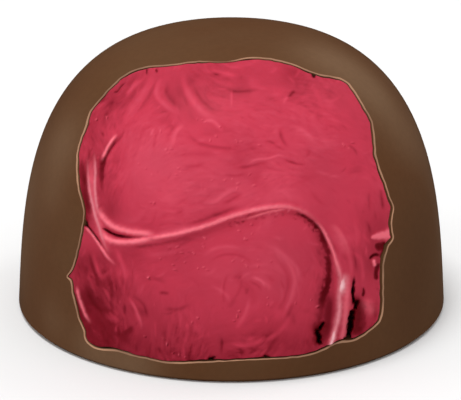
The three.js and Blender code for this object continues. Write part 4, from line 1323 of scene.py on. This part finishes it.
def shade_smooth(mesh, angle):
    """Smooth shading, with edges sharper than the angle kept crisp."""
    mesh.shade_smooth()
    mesh.set_sharp_from_angle(angle=angle)


def finish_piece(piece, name, node):
    """Names a piece, hides the node it stands for, and hangs it under the root."""
    piece.name = name
    piece.data.name = name
    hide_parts(node)
    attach(piece, "root")


class NodeBoard:
    """Adds and links shader nodes by name."""

    def __init__(self, tree):
        self.tree = tree

    def add(self, kind, settings=None, **inputs):
        """A new node. An underscore in an input's name stands for a space."""
        node = self.tree.nodes.new(kind)
        for name, value in (settings or {}).items():
            setattr(node, name, value)
        for name, value in inputs.items():
            self.feed(node, name.replace("_", " "), value)
        return node

    def feed(self, node, name, value):
        """Gives an input a fixed value, or links it to another node's output."""
        socket = node.inputs[name]
        if isinstance(value, bpy.types.NodeSocket):
            self.tree.links.new(value, socket)
        else:
            socket.default_value = value


def colour4(colour):
    """A colour with full opacity."""
    return (*colour, 1.0)


def mottle_group():
    """Node group: uneven cooling marks. Puts out two masks from 0 to 1, broad clouds and fine specks."""
    group = bpy.data.node_groups.new("Mottle", "ShaderNodeTree")
    for name, default in (("Cloud Scale", 120.0), ("Speck Scale", 2500.0)):
        socket = group.interface.new_socket(name, in_out="INPUT", socket_type="NodeSocketFloat")
        socket.default_value = default
    for name in ("Clouds", "Specks"):
        group.interface.new_socket(name, in_out="OUTPUT", socket_type="NodeSocketFloat")
    board = NodeBoard(group)
    start = board.add("NodeGroupInput")
    end = board.add("NodeGroupOutput")
    place = board.add("ShaderNodeTexCoord").outputs["Object"]
    clouds = board.add("ShaderNodeTexNoise", Vector=place, Detail=3.0, Roughness=0.5)
    board.feed(clouds, "Scale", start.outputs["Cloud Scale"])
    specks = board.add("ShaderNodeTexNoise", Vector=place, Detail=4.0, Roughness=0.6)
    board.feed(specks, "Scale", start.outputs["Speck Scale"])
    board.feed(end, "Clouds", clouds.outputs["Fac"])
    board.feed(end, "Specks", specks.outputs["Fac"])
    return group


def new_material(name):
    """An empty material with its Principled shader and output."""
    material = bpy.data.materials.new(name)
    material.use_nodes = True
    material.node_tree.nodes.clear()
    board = NodeBoard(material.node_tree)
    shader = board.add("ShaderNodeBsdfPrincipled")
    board.add("ShaderNodeOutputMaterial", Surface=shader.outputs["BSDF"])
    return material, board, shader


def mixed(board, factor, first, second, blend="MIX"):
    """A colour mixed from two others."""
    node = board.add("ShaderNodeMix", {"data_type": "RGBA", "blend_type": blend})
    for index, value in ((0, factor), (6, first), (7, second)):
        board.feed(node, index, value)
    return node.outputs[2]


def remapped(board, value, low, high, to_low, to_high):
    """A value moved from one range to another, clamped."""
    ranges = {"From_Min": low, "From_Max": high, "To_Min": to_low, "To_Max": to_high}
    return board.add("ShaderNodeMapRange", Value=value, **ranges).outputs["Result"]


def group_node(board, group, cloud_scale, speck_scale):
    """A mottle group in a material, with its two scales."""
    node = board.add("ShaderNodeGroup", {"node_tree": group})
    node.inputs["Cloud Scale"].default_value = cloud_scale
    node.inputs["Speck Scale"].default_value = speck_scale
    return node


# How red, green and blue change where the chocolate looks more olive, and how dull the broken edge can be.
OLIVE_SHIFT = (1.04, 1.14, 1.22)
BROKEN_DULL = 0.57


def chocolate_material(settings, group):
    """Satin moulded chocolate with soft cloudy tones, seeded bloom, and patches of painted sheen and shade."""
    material, board, shader = new_material("milk_chocolate")
    mottle = group_node(board, group, 110.0, 2600.0)
    base = colour4(settings.chocolate)
    olive = colour4([part * shift for part, shift in zip(settings.chocolate, OLIVE_SHIFT)])
    clouds = remapped(board, mottle.outputs["Clouds"], 0.4, 0.66, 0.0, 1.0)
    colour = mixed(board, clouds, base, olive)
    # Placed patches of painted sheen and shade, mixed with the seeded bloom.
    bloom = board.add("ShaderNodeAttribute", {"attribute_name": "bloom"}).outputs["Fac"]
    colour = mixed(board, remapped(board, bloom, 0.5, 1.0, 0.0, 1.0), colour, colour4(settings.bloom_and_sheen_colour))
    colour = mixed(board, remapped(board, bloom, 0.0, 0.5, 1.0, 0.0), colour, colour4(settings.deep))
    specks = remapped(board, mottle.outputs["Specks"], 0.35, 0.65, 0.965, 1.03)
    colour = mixed(board, 1.0, colour, specks, "MULTIPLY")
    board.feed(shader, "Base Color", colour)
    rough = remapped(board, mottle.outputs["Clouds"], 0.3, 0.7, 0.5, 0.58)
    board.feed(shader, "Roughness", rough)
    shader.inputs["Specular IOR Level"].default_value = 0.02
    bump = board.add("ShaderNodeBump", Strength=0.05, Distance=0.0001, Height=mottle.outputs["Specks"])
    board.feed(shader, "Normal", bump.outputs["Normal"])
    return material


def broken_material(settings, group):
    """The matt, paler chocolate of the broken edge."""
    material, board, shader = new_material("broken_chocolate")
    mottle = group_node(board, group, 260.0, 5200.0)
    pale = colour4(settings.broken)
    dull = colour4([part * BROKEN_DULL for part in settings.broken])
    clouds = remapped(board, mottle.outputs["Clouds"], 0.38, 0.62, 0.0, 1.0)
    colour = mixed(board, clouds, dull, pale)
    board.feed(shader, "Base Color", colour)
    shader.inputs["Roughness"].default_value = 0.75
    shader.inputs["Specular IOR Level"].default_value = 0.2
    bump = board.add("ShaderNodeBump", Strength=0.25, Distance=0.00005, Height=mottle.outputs["Specks"])
    board.feed(shader, "Normal", bump.outputs["Normal"])
    return material


def cream_material(settings, group):
    """Soft semi-gloss cream: paler and darker smears with painted light and shade, painted crest highlights,
    and painted shade deep red in the cracks.
    """
    material, board, shader = new_material("berry_cream")
    mottle = group_node(board, group, 260.0, 3000.0)
    smear = board.add("ShaderNodeAttribute", {"attribute_name": "smear"}).outputs["Fac"]
    hollow = board.add("ShaderNodeAttribute", {"attribute_name": "hollow"}).outputs["Fac"]
    # Paler and darker smears, together with painted light and shade, from the smear tone.
    lighter = remapped(board, smear, 0.5, 1.0, 0.0, 0.85)
    darker = remapped(board, smear, 0.18, 0.5, 1.0, 0.0)
    darkest = remapped(board, smear, 0.0, 0.3, 0.9, 0.0)
    colour = mixed(board, lighter, colour4(settings.colour), colour4(settings.light))
    colour = mixed(board, darker, colour, colour4(settings.dark))
    colour = mixed(board, darkest, colour, colour4(settings.ruby))
    clouds = remapped(board, mottle.outputs["Clouds"], 0.35, 0.65, 0.92, 1.06)
    colour = mixed(board, 1.0, colour, clouds, "MULTIPLY")
    # Painted highlights on the crests: pale, then rose and white on the glinting ridges.
    crest = board.add("ShaderNodeAttribute", {"attribute_name": "crest"}).outputs["Fac"]
    colour = mixed(board, remapped(board, crest, 0.0, 0.5, 0.0, 1.0), colour, colour4(settings.pale))
    chalk = board.add("ShaderNodeAttribute", {"attribute_name": "chalk"}).outputs["Fac"]
    colour = mixed(board, remapped(board, chalk, 0.0, 0.5, 0.0, 1.0), colour, colour4(settings.rose))
    colour = mixed(board, remapped(board, chalk, 0.5, 1.0, 0.0, 1.0), colour, colour4(settings.white))
    # Painted shade deep in cracks and sunk places.
    colour = mixed(board, hollow, colour, colour4(settings.deep))
    board.feed(shader, "Base Color", colour)
    rough = remapped(board, mottle.outputs["Specks"], 0.3, 0.7, 0.42, 0.52)
    board.feed(shader, "Roughness", rough)
    shader.inputs["Specular IOR Level"].default_value = 0.06
    shader.inputs["Subsurface Weight"].default_value = 0.15
    shader.inputs["Subsurface Radius"].default_value = (1.0, 0.35, 0.3)
    shader.inputs["Subsurface Scale"].default_value = 0.0004
    bump = board.add("ShaderNodeBump", Strength=0.1, Distance=0.00005, Height=mottle.outputs["Specks"])
    board.feed(shader, "Normal", bump.outputs["Normal"])
    return material


def plain_material(name, colour, roughness):
    """A plain matt material for the floor."""
    material, board, shader = new_material(name)
    shader.inputs["Base Color"].default_value = colour4(colour)
    shader.inputs["Roughness"].default_value = roughness
    shader.inputs["Specular IOR Level"].default_value = 0.0
    return material


def mould(settings):
    """The whole dome with a small bevel round its foot."""
    side = dome_profile(0, FOOT_BEVEL, settings.steps)
    foot = [(0, 0), (side[0, 0] - FOOT_BEVEL, 0)]
    return turned("moulded_shell", np.vstack([foot, side]), settings.segments)


def hollow_solid(name, inset, floor, settings):
    """The dome's inside at an inset from its outside, with a flat floor."""
    side = dome_profile(inset, floor, settings.steps // 2)
    return turned(name, np.vstack([[(0, floor)], side]), settings.segments // 2)


def break_out(rim, settings):
    """What is broken out of the shell: a hole square to the wall, a brown band and a pale sloping edge."""
    depth = settings.break_depth / MM
    lifted = rim.ring(-CUT_LIFT, -CUT_LIFT / depth * rim.edge)
    rings = [
        rim.ring(settings.wall / MM + CUTTER_REACH, rim.wall),
        rim.ring(settings.band_depth / MM, rim.wall),
        rim.ring(depth, rim.edge),
        rim.ring(0, 0),
        lifted,
        in_front(lifted),
    ]
    return plug("broken_out", rings, [0, 0, 1, 1, 1])


def cream_limit(rim):
    """The room for the cream in the opening, square to the wall."""
    rings = [rim.ring(BLOCK_BACK - LIMIT_SHORT, rim.limit), rim.ring(-CUT_LIFT, rim.limit)]
    rings.append(in_front(rings[-1]))
    return plug("cream_limit", rings, [0, 0])


class PRALINE_OT_mould_shell(bpy.types.Operator):
    """Mould the chocolate shell and break its front open"""

    bl_idname = "praline.mould_shell"
    bl_label = "Mould Shell"

    def execute(self, context):
        settings = context.scene.praline_shell
        group = bpy.data.node_groups.get("Mottle") or mottle_group()
        shell = mould(settings)
        cavity = hollow_solid("cavity", settings.wall / MM, settings.floor / MM, settings)
        combined(shell, cavity, "DIFFERENCE", "EXACT")
        cutter = break_out(Rim(settings, context.scene.praline_cream), settings)
        for material in (chocolate_material(settings, group), broken_material(settings, group)):
            shell.data.materials.append(material)
            cutter.data.materials.append(material)
        combined(shell, cutter, "DIFFERENCE", "EXACT")
        write_bloom_and_painted_light(shell.data)
        shade_smooth(shell.data, SHELL_SHARP)
        finish_piece(shell, "moulded_shell", "chocolate_shell")
        return {"FINISHED"}


class PRALINE_OT_fold_cream(bpy.types.Operator):
    """Fill the shell with cream and fold its face"""

    bl_idname = "praline.fold_cream"
    bl_label = "Fold Cream"

    def execute(self, context):
        settings = context.scene.praline_cream
        shell = context.scene.praline_shell
        group = bpy.data.node_groups.get("Mottle") or mottle_group()
        clearance = settings.clearance / MM
        body = hollow_solid("folded_cream", shell.wall / MM + clearance, shell.floor / MM + clearance, shell)
        rim = Rim(shell, settings)
        block = cream_block(rim, settings, shell)
        combined(block, cream_limit(rim), "INTERSECT", "MANIFOLD")
        combined(body, block, "UNION", "MANIFOLD")
        write_cream_masks(body.data, settings)
        body.data.materials.clear()
        body.data.materials.append(cream_material(settings, group))
        shade_smooth(body.data, CREAM_SHARP)
        finish_piece(body, "folded_cream", "berry_filling")
        return {"FINISHED"}


def area_light(name, power, size, place):
    """A soft square light that faces the praline's middle."""
    data = bpy.data.lights.new(name, "AREA")
    data.energy = power
    data.size = size
    light = bpy.data.objects.new(name, data)
    light.location = place
    light.rotation_euler = (LIT_PLACE - Vector(place)).to_track_quat("-Z", "Y").to_euler()
    bpy.context.scene.collection.objects.link(light)


def pale_floor():
    """The plain floor that the praline stands on."""
    bm = bmesh.new()
    bmesh.ops.create_grid(bm, x_segments=1, y_segments=1, size=FLOOR_HALF)
    floor = new_object("floor", bm)
    floor.data.materials.append(plain_material("pale_floor", FLOOR_COLOUR, 0.9))
    floor.visible_glossy = False


def white_surround(strength):
    """An even white world, dimmer where it is only mirrored."""
    world = bpy.data.worlds.new("surround")
    bpy.context.scene.world = world
    world.use_nodes = True
    board = NodeBoard(world.node_tree)
    mirrored = board.add("ShaderNodeLightPath").outputs["Is Glossy Ray"]
    level = remapped(board, mirrored, 0.0, 1.0, strength, strength * MIRRORED_SHARE)
    background = world.node_tree.nodes["Background"]
    background.inputs["Color"].default_value = (1, 1, 1, 1)
    board.feed(background, "Strength", level)


def place_camera(settings):
    """The camera at the angle of view of the reference."""
    data = bpy.data.cameras.new("camera")
    data.sensor_width = SENSOR_WIDTH
    data.lens = settings.lens
    camera = bpy.data.objects.new("camera", data)
    back = settings.distance * math.cos(settings.elevation)
    up = settings.target + settings.distance * math.sin(settings.elevation)
    camera.location = (settings.sideways, -back, up)
    camera.rotation_euler = (math.pi / 2 - settings.elevation, 0, 0)
    bpy.context.scene.collection.objects.link(camera)
    bpy.context.scene.camera = camera


class PRALINE_OT_set_stage(bpy.types.Operator):
    """Set the floor, the lights and the camera"""

    bl_idname = "praline.set_stage"
    bl_label = "Set Stage"

    def execute(self, context):
        settings = context.scene.praline_stage
        pale_floor()
        white_surround(settings.ambient)
        for name, (size, place) in LIGHTS.items():
            area_light(name, getattr(settings, name), size, place)
        place_camera(settings)
        scene = context.scene
        scene.view_settings.view_transform = "Standard"
        scene.view_settings.look = "None"
        return {"FINISHED"}


class PRALINE_PT_sidebar(bpy.types.Panel):
    """Lists the steps of the praline"""

    bl_label = "Praline"
    bl_idname = "PRALINE_PT_sidebar"
    bl_space_type = "VIEW_3D"
    bl_region_type = "UI"
    bl_category = "Praline"

    def draw(self, context):
        layout = self.layout
        for operator, settings in STEPS:
            layout.operator(operator.bl_idname)
            group = getattr(context.scene, settings)
            for name in group.__annotations__:
                layout.prop(group, name)


STEPS = [
    (PRALINE_OT_set_stage, "praline_stage"),
    (PRALINE_OT_mould_shell, "praline_shell"),
    (PRALINE_OT_fold_cream, "praline_cream"),
]
SETTINGS = {
    "praline_stage": StageSettings,
    "praline_shell": ShellSettings,
    "praline_cream": CreamSettings,
}


def register():
    """Adds the settings, the steps and the panel to Blender."""
    for name, group in SETTINGS.items():
        bpy.utils.register_class(group)
        setattr(bpy.types.Scene, name, PointerProperty(type=group))
    for operator, _ in STEPS:
        bpy.utils.register_class(operator)
    bpy.utils.register_class(PRALINE_PT_sidebar)


def unregister():
    """Takes them out again, last one first."""
    bpy.utils.unregister_class(PRALINE_PT_sidebar)
    for operator, _ in reversed(STEPS):
        bpy.utils.unregister_class(operator)
    for name, group in SETTINGS.items():
        delattr(bpy.types.Scene, name)
        bpy.utils.unregister_class(group)


def main():
    """Builds the stage and the praline, step by step."""
    register()
    bpy.ops.praline.set_stage()
    bpy.ops.praline.mould_shell()
    bpy.ops.praline.fold_cream()


if __name__ == "__main__":
    main()
